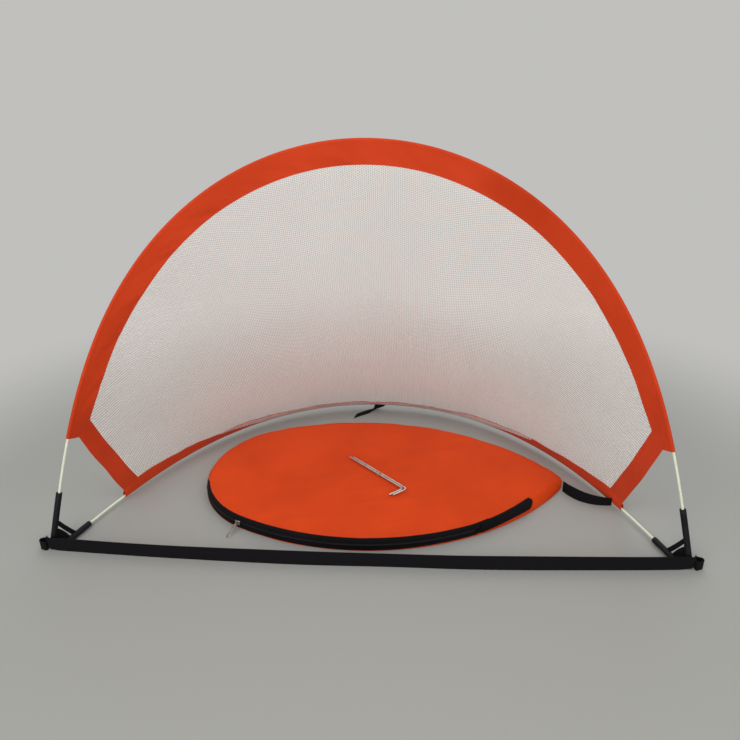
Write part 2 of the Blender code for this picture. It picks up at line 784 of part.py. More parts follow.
def slider_frame():
    """Slider's place on the bag's outline, and its along and outward directions."""
    out = Vector((math.cos(SLIDER_ANGLE), math.sin(SLIDER_ANGLE), 0.0))
    along = Vector((-out.y, out.x, 0.0))
    place = bag_edge(SLIDER_ANGLE)
    return Vector((place.x, place.y, ZIP_HEIGHT)), along, out


def plate_face():
    """Height of the slider plate's outer face over the bag's outline."""
    return ZIP_COIL_RADIUS - ZIP_COIL_INSET + RUN_GAP + SLIDER_PLATE


def make_slider():
    """Slider plate with a flange each side of the teeth and a bridge for the ring."""
    place, along, out = slider_frame()
    half_lug = LUG_LENGTH / 2
    half_height = SLIDER_HEIGHT / 2
    outer = plate_face()
    u = [-SLIDER_LENGTH / 2, -half_lug, LUG_WIRE - half_lug, half_lug - LUG_WIRE, half_lug,
         SLIDER_LENGTH / 2]
    w = [RUN_GAP - ZIP_TAPE_INSET, outer - SLIDER_PLATE, outer, outer + LUG_REACH - LUG_WIRE,
         outer + LUG_REACH]
    z = [-half_height, SLIDER_FLANGE - half_height, -LUG_WIDTH / 2, LUG_WIDTH / 2,
         half_height - SLIDER_FLANGE, half_height]
    filled = {(i, 1, k) for i in range(5) for k in range(5)}
    filled |= {(i, 0, k) for i in range(5) for k in (0, 4)}
    filled |= {(1, 2, 2), (3, 2, 2), (1, 3, 2), (2, 3, 2), (3, 3, 2)}
    return cell_solid((along, out, Vector((0.0, 0.0, 1.0))), (u, w, z), place, filled)


def lug_centre():
    """Middle of the bar that the puller's ring turns on."""
    place, _, out = slider_frame()
    return place + out * (plate_face() + LUG_REACH - LUG_WIRE / 2)


def puller_way():
    """Direction in which the puller lies: outwards and down until its tip is on the ground."""
    _, _, out = slider_frame()
    drop = ZIP_HEIGHT - PULLER_TIP_GAP - PULLER_THICKNESS / 2
    angle = math.asin(drop / PULLER_LENGTH)
    return out * math.cos(angle) - Vector((0.0, 0.0, math.sin(angle)))


def make_ring():
    """Wire ring through the slider's bridge, holding the puller."""
    _, along, _ = slider_frame()
    way = puller_way()
    side = along.cross(way)
    centre = lug_centre() + way * RING_DROP
    bm = bmesh.new()
    loops = []
    for k in range(16):
        angle = 2 * math.pi * k / 16
        radial = way * math.cos(angle) + side * math.sin(angle)
        ring = circle_points(centre + radial * RING_RADIUS, radial, along, RING_WIRE, 6)
        loops.append(ring_verts(bm, ring))
    for a, b in zip(loops, loops[1:] + loops[:1]):
        bridge(bm, a, b)
    return bm


def make_puller():
    """Flat puller with an eye for the ring and a long window."""
    _, along, _ = slider_frame()
    way = puller_way()
    half = PULLER_WIDTH / 2
    u = [-half, PULLER_RIM - half, half - PULLER_RIM, half]
    eye = PULLER_TOP + LUG_WIRE
    h = [PULLER_TOP, eye, eye + 0.0030, eye + 0.0060, PULLER_LENGTH - PULLER_RIM, PULLER_LENGTH]
    n = [-PULLER_THICKNESS / 2, PULLER_THICKNESS / 2]
    filled = {(i, k, 0) for i in range(3) for k in range(5)}
    filled -= {(1, 1, 0), (1, 3, 0)}
    return cell_solid((along, way, along.cross(way)), (u, h, n), lug_centre(), filled)


def peg_height():
    return BAG_HEIGHT + SEAT_GAP + TIE_THICKNESS + RUN_GAP + PEG_RADIUS


def make_peg(nest):
    """L-shaped steel peg. The nested one lies one spacing inside the outer one's corner."""
    leg = Vector((math.cos(PEG_HEADING), math.sin(PEG_HEADING), 0.0))
    turned = PEG_HEADING + PEG_HOOK_ANGLE
    hook = Vector((math.cos(turned), math.sin(turned), 0.0))
    corner = Vector((*PEG_BEND_POINT, peg_height()))
    corner += (leg + hook) * (nest * PEG_SPACING / math.sin(PEG_HOOK_ANGLE))
    trim = PEG_BEND_RADIUS / math.tan(PEG_HOOK_ANGLE / 2)
    bend_centre = corner + (leg + hook).normalized() * (
        PEG_BEND_RADIUS / math.sin(PEG_HOOK_ANGLE / 2))
    start, end = corner + leg * trim, corner + hook * trim
    from_a, from_b = start - bend_centre, end - bend_centre
    sweep = from_a.angle(from_b)
    path = [corner + leg * PEG_LENGTH]
    path += [bend_centre + (from_a * math.sin(sweep * (1 - k / 6)) + from_b * math.sin(sweep * k / 6))
             / math.sin(sweep) for k in range(7)]
    path += [corner + hook * PEG_HOOK]
    rings = []
    up = Vector((0.0, 0.0, 1.0))
    for i, point in enumerate(path):
        before, after = path[max(i - 1, 0)], path[min(i + 1, len(path) - 1)]
        way = (after - before).normalized()
        rings.append(circle_points(point, way.cross(up), up, PEG_RADIUS, 12))
    tip = path[0] + leg * PEG_RADIUS * 1.6
    return lofted_rings([[tip]] + rings)


def make_tie():
    """Rubber band round both pegs' long legs."""
    leg = Vector((math.cos(PEG_HEADING), math.sin(PEG_HEADING), 0.0))
    turned = PEG_HEADING + PEG_HOOK_ANGLE
    hook = Vector((math.cos(turned), math.sin(turned), 0.0))
    side = leg.cross(Vector((0.0, 0.0, 1.0)))
    outer_leg = Vector((*PEG_BEND_POINT, peg_height())) + leg * TIE_DISTANCE
    shift = (leg + hook) * (PEG_SPACING / math.sin(PEG_HOOK_ANGLE))
    apart = shift.dot(side)
    up = Vector((0.0, 0.0, 1.0))
    rings = []
    for grow in (TIE_THICKNESS, 0.0):
        radius = PEG_RADIUS + RUN_GAP + grow
        section = []
        for k in range(16):
            angle = 2 * math.pi * (k + 0.5) / 16
            along_side = radius * math.cos(angle) + (apart if math.cos(angle) * apart > 0 else 0)
            section.append(outer_leg + side * along_side + up * radius * math.sin(angle))
        rings.append(section)
    half = leg * TIE_WIDTH / 2
    outer, inner = rings
    return shell_between([[p - half for p in outer], [p + half for p in outer]],
                         [[p - half for p in inner], [p + half for p in inner]])


def rod_stations(edges_s, length):
    """Rod stations: its ends, the tubes' mouths and the sleeve's stations."""
    spare = [ROD_INSET, 0.05, 0.09, 0.13, 0.17]
    stations = {s for s in spare if s < edges_s[0] - 0.01}
    stations |= {length - s for s in stations}
    return sorted(stations | set(edges_s))


def build_frame(front, base, edges, pivots, materials):
    arch, root = pivots["arch"], pivots["base"]
    fibre, plastic = materials["fibreglass"], materials["black_plastic"]
    cloth, webbing = materials["orange_cloth"], materials["black_webbing"]
    add_piece("front_rod", make_rod(front, rod_stations(edges.front_s, front.length)), fibre, arch)
    add_piece("base_rod", make_rod(base, rod_stations(edges.base_s, base.length)), fibre, root)
    add_piece("front_sleeve", make_sleeve(edges.front), cloth, arch)
    add_piece("base_sleeve", make_sleeve(edges.base), cloth, root)
    add_piece("net", make_net(front, base, edges), materials["net_mesh"], root)
    add_piece("ground_strap", make_ground_strap(), webbing, root)
    for side, name in ((-1, "left"), (1, "right")):
        is_left = side < 0
        front_tube = make_end_tube(front, FRONT_TUBE_LENGTH, is_left)
        base_tube = make_end_tube(base, BASE_TUBE_LENGTH, is_left)
        gusset = corner_web(front, base, is_left, GUSSET_NEAR, GUSSET_FAR, GUSSET_CROWN, 6)
        stay = corner_web(front, base, is_left, STAY_NEAR, STAY_NEAR + STAY_WIDTH, STAY_SLACK, 6)
        add_piece("front_tube_" + name, front_tube, plastic, arch)
        add_piece("base_tube_" + name, base_tube, plastic, root)
        add_piece("corner_gusset_" + name, gusset, webbing, root)
        add_piece("stay_strap_" + name, stay, webbing, root)
        add_piece("peg_loop_" + name, make_peg_loop(side), webbing, root)
        add_piece("corner_band_" + name, make_corner_band(edges, is_left), cloth, root)
    add_piece("back_tether", make_back_tether(base), webbing, root)
    add_piece("side_tether", make_side_tether(base), webbing, root)


def build_bag(pivots, materials):
    bag, slider, puller = pivots["bag"], pivots["zip_slider_body"], pivots["zip_puller_body"]
    cloth, tape = materials["bag_cloth"], materials["zip_tape"]
    chrome = materials["chrome"]
    add_piece("bag_bottom_panel", make_bag_bottom(), cloth, bag)
    add_piece("bag_top_panel", make_bag_top(), cloth, bag)
    add_piece("zip_tape_lower", make_zip_tape(False), tape, bag)
    add_piece("zip_tape_upper", make_zip_tape(True), tape, bag)
    add_piece("zip_chain", make_zip_chain(), materials["zip_coil"], bag)
    add_piece("zip_stop", make_zip_stop(), chrome, bag)
    add_piece("zip_tail", make_zip_tail(), tape, bag)
    add_piece("zip_slider", make_slider(), chrome, slider)
    add_piece("zip_ring", make_ring(), chrome, puller, 60.0)
    add_piece("zip_puller", make_puller(), chrome, puller)


def build_pegs(pivots, materials):
    pegs = pivots["pegs"]
    add_piece("peg_1", make_peg(1), materials["peg_steel"], pegs)
    add_piece("peg_2", make_peg(0), materials["peg_steel"], pegs)
    add_piece("peg_tie", make_tie(), materials["tie_band"], pegs)


def main():
    clear_scene()
    materials = {name: make_material(name) for name in COLOURS}
    edges = SewnEdges(FRONT_BOW, BASE_BOW)
    root = make_pivot("base", (0.0, 0.0, 0.0))
    left, right = bag_end_centres()
    bag_middle = (left + right) / 2
    zip_centre = BAG_ARCS[0][0]
    bag = make_pivot("bag", (bag_middle.x, bag_middle.y, 0.0), root)
    slider = make_pivot("zip_slider_body", (zip_centre.x, zip_centre.y, ZIP_HEIGHT), bag)
    pivots = {
        "base": root,
        "arch": make_pivot("arch", (0.0, CORNER_LINE_Y, CORNER_HEIGHT), root),
        "bag": bag,
        "zip_slider_body": slider,
        "zip_puller_body": make_pivot("zip_puller_body", tuple(lug_centre()), slider),
        "pegs": make_pivot("pegs", (*PEG_BEND_POINT, peg_height()), bag),
    }
    build_frame(FRONT_BOW, BASE_BOW, edges, pivots, materials)
    build_bag(pivots, materials)
    build_pegs(pivots, materials)


main()
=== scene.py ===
import json
import math

import bpy
import numpy as np
from mathutils import Matrix, Vector, kdtree, noise

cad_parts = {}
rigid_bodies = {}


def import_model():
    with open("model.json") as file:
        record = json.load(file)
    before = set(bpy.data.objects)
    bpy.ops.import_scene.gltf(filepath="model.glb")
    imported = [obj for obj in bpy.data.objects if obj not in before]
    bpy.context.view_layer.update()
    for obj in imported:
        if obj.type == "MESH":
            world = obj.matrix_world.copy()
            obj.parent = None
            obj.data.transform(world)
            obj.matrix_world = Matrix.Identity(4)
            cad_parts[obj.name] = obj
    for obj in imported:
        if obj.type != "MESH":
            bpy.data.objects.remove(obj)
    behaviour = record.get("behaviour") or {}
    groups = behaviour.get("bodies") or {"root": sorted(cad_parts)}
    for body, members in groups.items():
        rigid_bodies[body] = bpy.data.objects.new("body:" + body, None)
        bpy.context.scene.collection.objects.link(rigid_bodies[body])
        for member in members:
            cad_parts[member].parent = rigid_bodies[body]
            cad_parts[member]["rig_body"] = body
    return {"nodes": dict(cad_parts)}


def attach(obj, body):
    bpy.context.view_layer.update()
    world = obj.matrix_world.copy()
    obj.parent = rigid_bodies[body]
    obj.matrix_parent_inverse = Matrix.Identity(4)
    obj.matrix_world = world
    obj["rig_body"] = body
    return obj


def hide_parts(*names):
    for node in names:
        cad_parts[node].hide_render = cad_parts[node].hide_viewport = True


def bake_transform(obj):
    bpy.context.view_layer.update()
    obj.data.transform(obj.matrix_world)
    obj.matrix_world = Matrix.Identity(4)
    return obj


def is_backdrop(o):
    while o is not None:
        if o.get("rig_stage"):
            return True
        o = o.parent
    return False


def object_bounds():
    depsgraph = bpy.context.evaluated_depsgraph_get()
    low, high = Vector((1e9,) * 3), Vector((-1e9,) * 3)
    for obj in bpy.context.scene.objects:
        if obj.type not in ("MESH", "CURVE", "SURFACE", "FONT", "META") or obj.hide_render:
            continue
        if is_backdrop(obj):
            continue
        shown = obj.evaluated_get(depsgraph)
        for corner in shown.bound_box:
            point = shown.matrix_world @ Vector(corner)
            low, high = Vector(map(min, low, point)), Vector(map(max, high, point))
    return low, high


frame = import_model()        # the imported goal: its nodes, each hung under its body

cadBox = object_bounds()


# camera, at the photograph's angle
photoCamera = {
    "place": (0.090, -1.063, 0.941),
    "focalPixels": 741.0,
    "framePixels": 740.0,
    "sensor": 36.0,
    "pitch": 26.6,      # degrees down
    "yaw": 3.8,         # degrees to the left
    "roll": -0.8,
}


def addCamera(say):
    bpy.ops.object.camera_add()
    eye = bpy.context.object
    eye.name = "photoEye"
    pitch, yaw, roll = (math.radians(say[k]) for k in ("pitch", "yaw", "roll"))
    turn = Matrix.Rotation(yaw, 3, "Z")
    ahead = turn @ Vector((0.0, math.cos(pitch), -math.sin(pitch)))
    right = turn @ Vector((1.0, 0.0, 0.0))
    up = right.cross(ahead)
    sideways = right * math.cos(roll) + up * math.sin(roll)
    upward = up * math.cos(roll) - right * math.sin(roll)
    axes = Matrix((sideways, upward, -ahead)).transposed().to_4x4()
    eye.matrix_world = Matrix.Translation(say["place"]) @ axes
    eye.data.sensor_width = say["sensor"]
    eye.data.lens = say["sensor"] * say["focalPixels"] / say["framePixels"]
    eye.data.clip_start, eye.data.clip_end = 0.05, 60.0
    bpy.context.scene.camera = eye


addCamera(photoCamera)


# small helpers
def pick(*pieces):
    bpy.ops.object.select_all(action="DESELECT")
    for piece in pieces:
        piece.select_set(True)
    bpy.context.view_layer.objects.active = pieces[0]


def newest(name):
    piece = bpy.context.object
    piece.name = name
    piece.data.name = name
    return piece


def setPoints(piece, points):
    piece.data.vertices.foreach_set("co", np.asarray(points, float).ravel())
    piece.data.update()


def getPoints(piece):
    points = np.empty(len(piece.data.vertices) * 3)
    piece.data.vertices.foreach_get("co", points)
    return points.reshape(-1, 3)


def editAll(piece, *steps):        # edit-mode operators on the whole piece
    pick(piece)
    bpy.ops.object.mode_set(mode="EDIT")
    bpy.ops.mesh.select_all(action="SELECT")
    for step in steps:
        step()
    bpy.ops.object.mode_set(mode="OBJECT")


def mergeClose(piece, distance=0.00002):
    editAll(piece, lambda: bpy.ops.mesh.remove_doubles(threshold=distance))


def faceOutwards(piece):
    editAll(piece, lambda: bpy.ops.mesh.normals_make_consistent(inside=False))


def applyAll(piece):
    pick(piece)
    for change in list(piece.modifiers):
        bpy.ops.object.modifier_apply(modifier=change.name)


def smooth(piece, angle=40.0):
    pick(piece)
    bpy.ops.object.shade_smooth_by_angle(angle=math.radians(angle))


def paint(piece, material):
    piece.data.materials.clear()
    piece.data.materials.append(material)


def settle(piece, material, body, node=None):        # finish, body, and what it replaces
    paint(piece, material)
    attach(piece, body)
    if node:
        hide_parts(node)


def thicken(piece, thickness, edge=0.0):        # cloth or webbing gets its thickness and soft rims
    wall = piece.modifiers.new("wall", "SOLIDIFY")
    wall.thickness, wall.offset, wall.use_even_offset = thickness, 0.0, True
    if edge:
        rim = piece.modifiers.new("rim", "BEVEL")
        rim.width, rim.segments, rim.limit_method = edge, 2, "ANGLE"
        rim.angle_limit = math.radians(62)
        rim.use_clamp_overlap = True
    applyAll(piece)
    smooth(piece)


def clothGrid(name, points, flat):
    # laid through points[row][column], with its flat size in metres as UV
    points, flat = np.asarray(points, float), np.asarray(flat, float)
    rows, columns = points.shape[:2]
    bpy.ops.object.select_all(action="DESELECT")
    bpy.ops.mesh.primitive_grid_add(x_subdivisions=rows - 1, y_subdivisions=columns - 1, size=2.0)
    piece = newest(name)
    start = getPoints(piece)
    i = np.rint((start[:, 0] + 1) / 2 * (rows - 1)).astype(int)
    j = np.rint((start[:, 1] + 1) / 2 * (columns - 1)).astype(int)
    setPoints(piece, points[i, j])
    corner = np.empty(len(piece.data.loops), int)
    piece.data.loops.foreach_get("vertex_index", corner)
    layer = piece.data.uv_layers[0]
    layer.name = "flat"
    layer.data.foreach_set("uv", flat[i, j][corner].ravel())
    return piece


def unit(vector):
    vector = np.asarray(vector, float)
    return vector / np.linalg.norm(vector, axis=-1, keepdims=True)


def wave(*where):        # smooth noise from -1 to 1, the same on every run
    return noise.noise(Vector(where)) * 1.6


def clamp(x, low=0.0, high=1.0):
    return min(max(x, low), high)


def easing(x, low, high):        # 0 at low, 1 at high, and a smooth S between
    t = clamp((x - low) / (high - low))
    return t * t * (3 - 2 * t)


def flatSpread(points):        # metres along the rows and the columns of a grid of points
    points = np.asarray(points, float)
    along = np.linalg.norm(np.diff(points, axis=0), axis=2)
    across = np.linalg.norm(np.diff(points, axis=1), axis=2)
    spread = np.zeros(points.shape[:2] + (2,))
    spread[1:, :, 0] = np.cumsum(along.mean(axis=1))[:, None]
    spread[:, 1:, 1] = np.cumsum(across, axis=1)
    return spread


def runOf(path):        # metres run along a path, up to each of its points
    return np.concatenate([[0.0], np.cumsum(np.linalg.norm(np.diff(path, axis=0), axis=1))])


def pointAt(path, run, s):        # the path's own point s metres along it
    return np.array([np.interp(s, run, path[:, a]) for a in range(3)])


def takeShape(piece, scale):        # a primitive's scaled points and its faces; it is removed
    shape = getPoints(piece) * scale
    faces = [tuple(face.vertices) for face in piece.data.polygons]
    bpy.data.objects.remove(piece, do_unlink=True)
    return shape, faces


def layCopies(name, shape, faces, places, angle):        # one for each (middle, way, side, up)
    points = [middle + shape[:, :1] * way + shape[:, 1:2] * side + shape[:, 2:] * up
              for middle, way, side, up in places]
    polygons = [tuple(v + k * len(shape) for v in f) for k in range(len(places)) for f in faces]
    mesh = bpy.data.meshes.new(name)
    mesh.from_pydata(np.concatenate(points).tolist(), [], polygons)
    piece = bpy.data.objects.new(name, mesh)
    bpy.context.scene.collection.objects.link(piece)
    smooth(piece, angle)
    return piece


def stitchRow(name, path, outward, say):
    # one stitch is modelled, and laid again and again along a path on its outward side
    path, outward = np.asarray(path, float), unit(outward)
    run = runOf(path)
    count = max(2, int(run[-1] / say["pitch"]))
    bpy.ops.object.select_all(action="DESELECT")
    bpy.ops.mesh.primitive_uv_sphere_add(segments=6, ring_count=4, radius=1.0)
    shape, faces = takeShape(newest("oneStitch"),
                             [say["long"] / 2, say["thread"] / 2, say["thread"] / 2])
    places = []
    for k in range(count):
        s = (k + 0.5) * run[-1] / count
        near, far = (pointAt(path, run, s + step) for step in (-say["long"] / 2, say["long"] / 2))
        face, way = unit(pointAt(outward, run, s)), unit(far - near)
        middle = (near + far) / 2 + face * say["lift"]
        places.append((middle, way, unit(np.cross(face, way)), face))
    return layCopies(name, shape, faces, places, 80.0)


# the two springy rods
rods = {
    "frontHalf": 0.600, "frontEnd": 78.75, "frontLean": 75.6,
    "baseHalf": 0.582, "baseEnd": 68.4, "baseLean": 1.0,
    "hingeY": 0.024, "hingeZ": 0.00605,
    "radius": 0.0025, "inset": 0.007, "steps": 480,
}


class SpringRod:        # bent like a strung bow, pinned at both corners
    def __init__(self, half, endAngle, lean):
        first, second = 1.0, math.cos(math.radians(endAngle) / 2)
        for _ in range(12):
            first, second = (first + second) / 2, math.sqrt(first * second)
        step = math.pi / first / rods["steps"]

        def slope(v):
            return np.array([v[1], -math.sin(v[0]), math.cos(v[0]), math.sin(v[0])])

        state = np.array([math.radians(endAngle), 0.0, 0.0, 0.0])
        rows = [state]
        for _ in range(rods["steps"]):
            a = slope(state)
            b = slope(state + a * step / 2)
            c = slope(state + b * step / 2)
            d = slope(state + c * step)
            state = state + (a + 2 * b + 2 * c + d) * step / 6
            rows.append(state)
        rows = np.array(rows)
        scale = 2 * half / rows[-1, 2]
        self.length = step * rods["steps"] * scale
        self.s = np.linspace(0.0, self.length, rods["steps"] + 1)
        self.x, self.h, self.turn = rows[:, 2] * scale - half, rows[:, 3] * scale, rows[:, 0]
        lean = math.radians(lean)
        self.rise = np.array([0.0, math.cos(lean), math.sin(lean)])
        self.normal = np.array([0.0, -math.sin(lean), math.cos(lean)])

    def at(self, s):        # centre, tangent and inward direction at the arc length s
        inside = clamp(s, 0.0, self.length)
        turn = float(np.interp(inside, self.s, self.turn))
        across = np.array([1.0, 0.0, 0.0])
        tangent = across * math.cos(turn) + self.rise * math.sin(turn)
        inward = across * math.sin(turn) - self.rise * math.cos(turn)
        centre = np.array([0.0, rods["hingeY"], rods["hingeZ"]])
        centre = centre + across * np.interp(inside, self.s, self.x)
        centre = centre + self.rise * np.interp(inside, self.s, self.h)
        return centre + tangent * (s - inside), tangent, inward


frontBow = SpringRod(rods["frontHalf"], rods["frontEnd"], rods["frontLean"])
baseBow = SpringRod(rods["baseHalf"], rods["baseEnd"], rods["baseLean"])


def foldShare(points):        # how far round from the ground each point stands, in radians
    points = np.asarray(points, float)
    return np.arctan2(points[..., 2] - rods["hingeZ"], points[..., 1] - rods["hingeY"])


def foldLikeFan(piece, low, high):
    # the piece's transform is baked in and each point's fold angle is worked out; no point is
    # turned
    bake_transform(piece)
    angle = foldShare(getPoints(piece))


def nearestOf(piece, columns, values):
    # for each point of the piece, the value that belongs to the nearest column point
    columns, points = np.asarray(columns, float).reshape(-1, 3), getPoints(piece)
    tree = kdtree.KDTree(len(columns))
    for k, point in enumerate(columns):
        tree.insert(point, k)
    tree.balance()
    values = np.asarray(values, float)
    return np.array([values[tree.find(point)[1]] for point in points])


# finishes
def newMaterial(name, **values):
    material = bpy.data.materials.new(name)
    material.use_nodes = True
    shader = material.node_tree.nodes["Principled BSDF"]
    for socket, value in values.items():
        words = {"base": "Base Color", "roughness": "Roughness", "metallic": "Metallic",
                 "sheen": "Sheen Weight", "sheenRoughness": "Sheen Roughness",
                 "coat": "Coat Weight", "coatRoughness": "Coat Roughness",
                 "specular": "Specular IOR Level"}
        value = (*value, 1.0) if isinstance(value, tuple) else value
        shader.inputs[words[socket]].default_value = value
    return material, material.node_tree, shader


def addNode(tree, kind, **settings):
    node = tree.nodes.new(kind)
    for key, value in settings.items():
        setattr(node, key, value)
    return node


def doMath(tree, operation, a, b=None):
    node = addNode(tree, "ShaderNodeMath", operation=operation)
    for slot, value in enumerate((a, b)):
        if value is None:
            continue
        if isinstance(value, (int, float)):
            node.inputs[slot].default_value = value
        else:
            tree.links.new(value, node.inputs[slot])
    return node.outputs[0]


def newGroup(name, inputs, outputs):
    tree = bpy.data.node_groups.new(name, "ShaderNodeTree")
    for word, kind, value in inputs:
        socket = tree.interface.new_socket(name=word, in_out="INPUT", socket_type=kind)
        if value is not None:
            socket.default_value = value
    for word, kind in outputs:
        tree.interface.new_socket(name=word, in_out="OUTPUT", socket_type=kind)
    return tree, addNode(tree, "NodeGroupInput"), addNode(tree, "NodeGroupOutput")


def placeGroup(tree, group, **values):
    node = addNode(tree, "ShaderNodeGroup")
    node.node_tree = group
    for word, value in values.items():
        if isinstance(value, bpy.types.NodeSocket):
            tree.links.new(value, node.inputs[word])
        else:
            node.inputs[word].default_value = value
    return node


def makeWeaveGroup():        # plain weave: the threads of one way pass over and under the other
    tree, given, out = newGroup("plainWeave", [("Where", "NodeSocketVector", None),
                                               ("Pitch", "NodeSocketFloat", 0.001)],
                                [("Height", "NodeSocketFloat")])
    apart = addNode(tree, "ShaderNodeSeparateXYZ")
    tree.links.new(given.outputs["Where"], apart.inputs[0])
    cells = [doMath(tree, "DIVIDE", apart.outputs[k], given.outputs["Pitch"]) for k in (0, 1)]
    rounds = [doMath(tree, "ABSOLUTE", doMath(tree, "SINE", doMath(tree, "MULTIPLY", c, math.pi)))
              for c in cells]
    count = doMath(tree, "ADD", doMath(tree, "FLOOR", cells[0]), doMath(tree, "FLOOR", cells[1]))
    over = doMath(tree, "PINGPONG", count, 1.0)
    mixed = addNode(tree, "ShaderNodeMix", data_type="FLOAT")
    tree.links.new(over, mixed.inputs[0])
    tree.links.new(rounds[0], mixed.inputs[2])
    tree.links.new(rounds[1], mixed.inputs[3])
    tree.links.new(mixed.outputs[0], out.inputs["Height"])
    return tree


def makeRibGroup():        # webbing: fine ribs across, shifted to and fro across the width
    tree, given, out = newGroup("webbingRib", [("Where", "NodeSocketVector", None),
                                               ("Pitch", "NodeSocketFloat", 0.0012)],
                                [("Height", "NodeSocketFloat")])
    apart = addNode(tree, "ShaderNodeSeparateXYZ")
    tree.links.new(given.outputs["Where"], apart.inputs[0])
    along = doMath(tree, "DIVIDE", apart.outputs[0], given.outputs["Pitch"])
    across = doMath(tree, "DIVIDE", apart.outputs[1], 0.0022)
    rib = doMath(tree, "ABSOLUTE", doMath(tree, "SINE", doMath(tree, "MULTIPLY", along, math.pi)))
    shift = doMath(tree, "MULTIPLY", doMath(tree, "PINGPONG", across, 1.0), 0.5)
    slant = doMath(tree, "MULTIPLY", doMath(tree, "ADD", along, shift), math.pi)
    bone = doMath(tree, "ABSOLUTE", doMath(tree, "SINE", slant))
    high = doMath(tree, "MULTIPLY", doMath(tree, "ADD", rib, bone), 0.5)
    tree.links.new(high, out.inputs["Height"])
    return tree


def makeToneGroup():        # slow change of tone over a surface, and a finer mottle
    tree, given, out = newGroup("slowTone", [("Where", "NodeSocketVector", None),
                                             ("Broad", "NodeSocketFloat", 5.0),
                                             ("Fine", "NodeSocketFloat", 60.0)],
                                [("Tone", "NodeSocketFloat"), ("Mottle", "NodeSocketFloat")])
    for word, source in (("Tone", "Broad"), ("Mottle", "Fine")):
        cloud = addNode(tree, "ShaderNodeTexNoise")
        cloud.inputs["Detail"].default_value = 3.0
        tree.links.new(given.outputs["Where"], cloud.inputs["Vector"])
        tree.links.new(given.outputs[source], cloud.inputs["Scale"])
        tree.links.new(cloud.outputs["Fac"], out.inputs[word])
    return tree


def makeNetGroup():        # three crossing waves leave a honeycomb of thread round open cells
    tree, given, out = newGroup("knittedNet", [("Where", "NodeSocketVector", None),
                                               ("Cell", "NodeSocketFloat", 0.0045),
                                               ("Open", "NodeSocketFloat", -0.4)],
                                [("Thread", "NodeSocketFloat"), ("Height", "NodeSocketFloat")])
    apart = addNode(tree, "ShaderNodeSeparateXYZ")
    tree.links.new(given.outputs["Where"], apart.inputs[0])
    total = None
    for k in range(3):
        angle = math.radians(60.0 * k)
        x = doMath(tree, "MULTIPLY", apart.outputs[0], math.cos(angle))
        y = doMath(tree, "MULTIPLY", apart.outputs[1], math.sin(angle))
        turn = doMath(tree, "DIVIDE", doMath(tree, "ADD", x, y), given.outputs["Cell"])
        full = 2 * math.pi * 2 / math.sqrt(3)
        ripple = doMath(tree, "COSINE", doMath(tree, "MULTIPLY", turn, full))
        total = ripple if total is None else doMath(tree, "ADD", total, ripple)
    closed = doMath(tree, "SUBTRACT", given.outputs["Open"], total)
    sharp = doMath(tree, "MULTIPLY", closed, 2.2)
    thread = addNode(tree, "ShaderNodeClamp")
    tree.links.new(doMath(tree, "ADD", sharp, 0.5), thread.inputs[0])
    tree.links.new(thread.outputs[0], out.inputs["Thread"])
    tree.links.new(closed, out.inputs["Height"])
    return tree


plainWeave, webbingRib = makeWeaveGroup(), makeRibGroup()
slowTone, knittedNet = makeToneGroup(), makeNetGroup()


def flatUv(tree):
    return addNode(tree, "ShaderNodeTexCoord").outputs["UV"]


def inPlace(tree):
    return addNode(tree, "ShaderNodeTexCoord").outputs["Object"]


def twoTone(tree, shader, factor, dark, light, low=0.3, high=0.7):
    ramp = addNode(tree, "ShaderNodeValToRGB")
    ramp.color_ramp.elements[0].position, ramp.color_ramp.elements[1].position = low, high
    ramp.color_ramp.elements[0].color = (*dark, 1.0)
    ramp.color_ramp.elements[1].color = (*light, 1.0)
    tree.links.new(factor, ramp.inputs["Fac"])
    tree.links.new(ramp.outputs["Color"], shader.inputs["Base Color"])
    return ramp


def between(tree, factor, low, high):        # a 0 to 1 factor spread between two values
    spread = addNode(tree, "ShaderNodeMapRange")
    spread.inputs["To Min"].default_value, spread.inputs["To Max"].default_value = low, high
    tree.links.new(factor, spread.inputs["Value"])
    return spread.outputs["Result"]


def bumps(tree, shader, *layers):        # (height, distance, strength), one over the other
    normal = None
    for height, distance, strength in layers:
        bump = addNode(tree, "ShaderNodeBump")
        bump.inputs["Distance"].default_value = distance
        bump.inputs["Strength"].default_value = strength
        tree.links.new(height, bump.inputs["Height"])
        if normal:
            tree.links.new(normal, bump.inputs["Normal"])
        normal = bump.outputs["Normal"]
    tree.links.new(normal, shader.inputs["Normal"])


def wovenCloth(name, dark, light, roughness, pitch, sheen):
    material, tree, shader = newMaterial(name, sheen=sheen, sheenRoughness=0.45, specular=0.09)
    tone = placeGroup(tree, slowTone, Where=inPlace(tree), Broad=7.0, Fine=140.0)
    weave = placeGroup(tree, plainWeave, Where=flatUv(tree), Pitch=pitch)
    twoTone(tree, shader, tone.outputs["Tone"], dark, light)
    tree.links.new(between(tree, tone.outputs["Mottle"], roughness - 0.08, roughness + 0.08),
                   shader.inputs["Roughness"])
    bumps(tree, shader, (tone.outputs["Tone"], 0.004, 0.35), (tone.outputs["Mottle"], 0.0004, 0.5),
          (weave.outputs["Height"], 0.00018, 0.6))
    return material


def threadFinish(name, colour):
    material, tree, shader = newMaterial(name, roughness=0.6, sheen=0.05, specular=0.2)
    tone = placeGroup(tree, slowTone, Where=inPlace(tree), Broad=90.0, Fine=900.0)
    twoTone(tree, shader, tone.outputs["Tone"], tuple(c * 0.75 for c in colour), colour)
    bumps(tree, shader, (tone.outputs["Mottle"], 0.0001, 0.6))
    return material


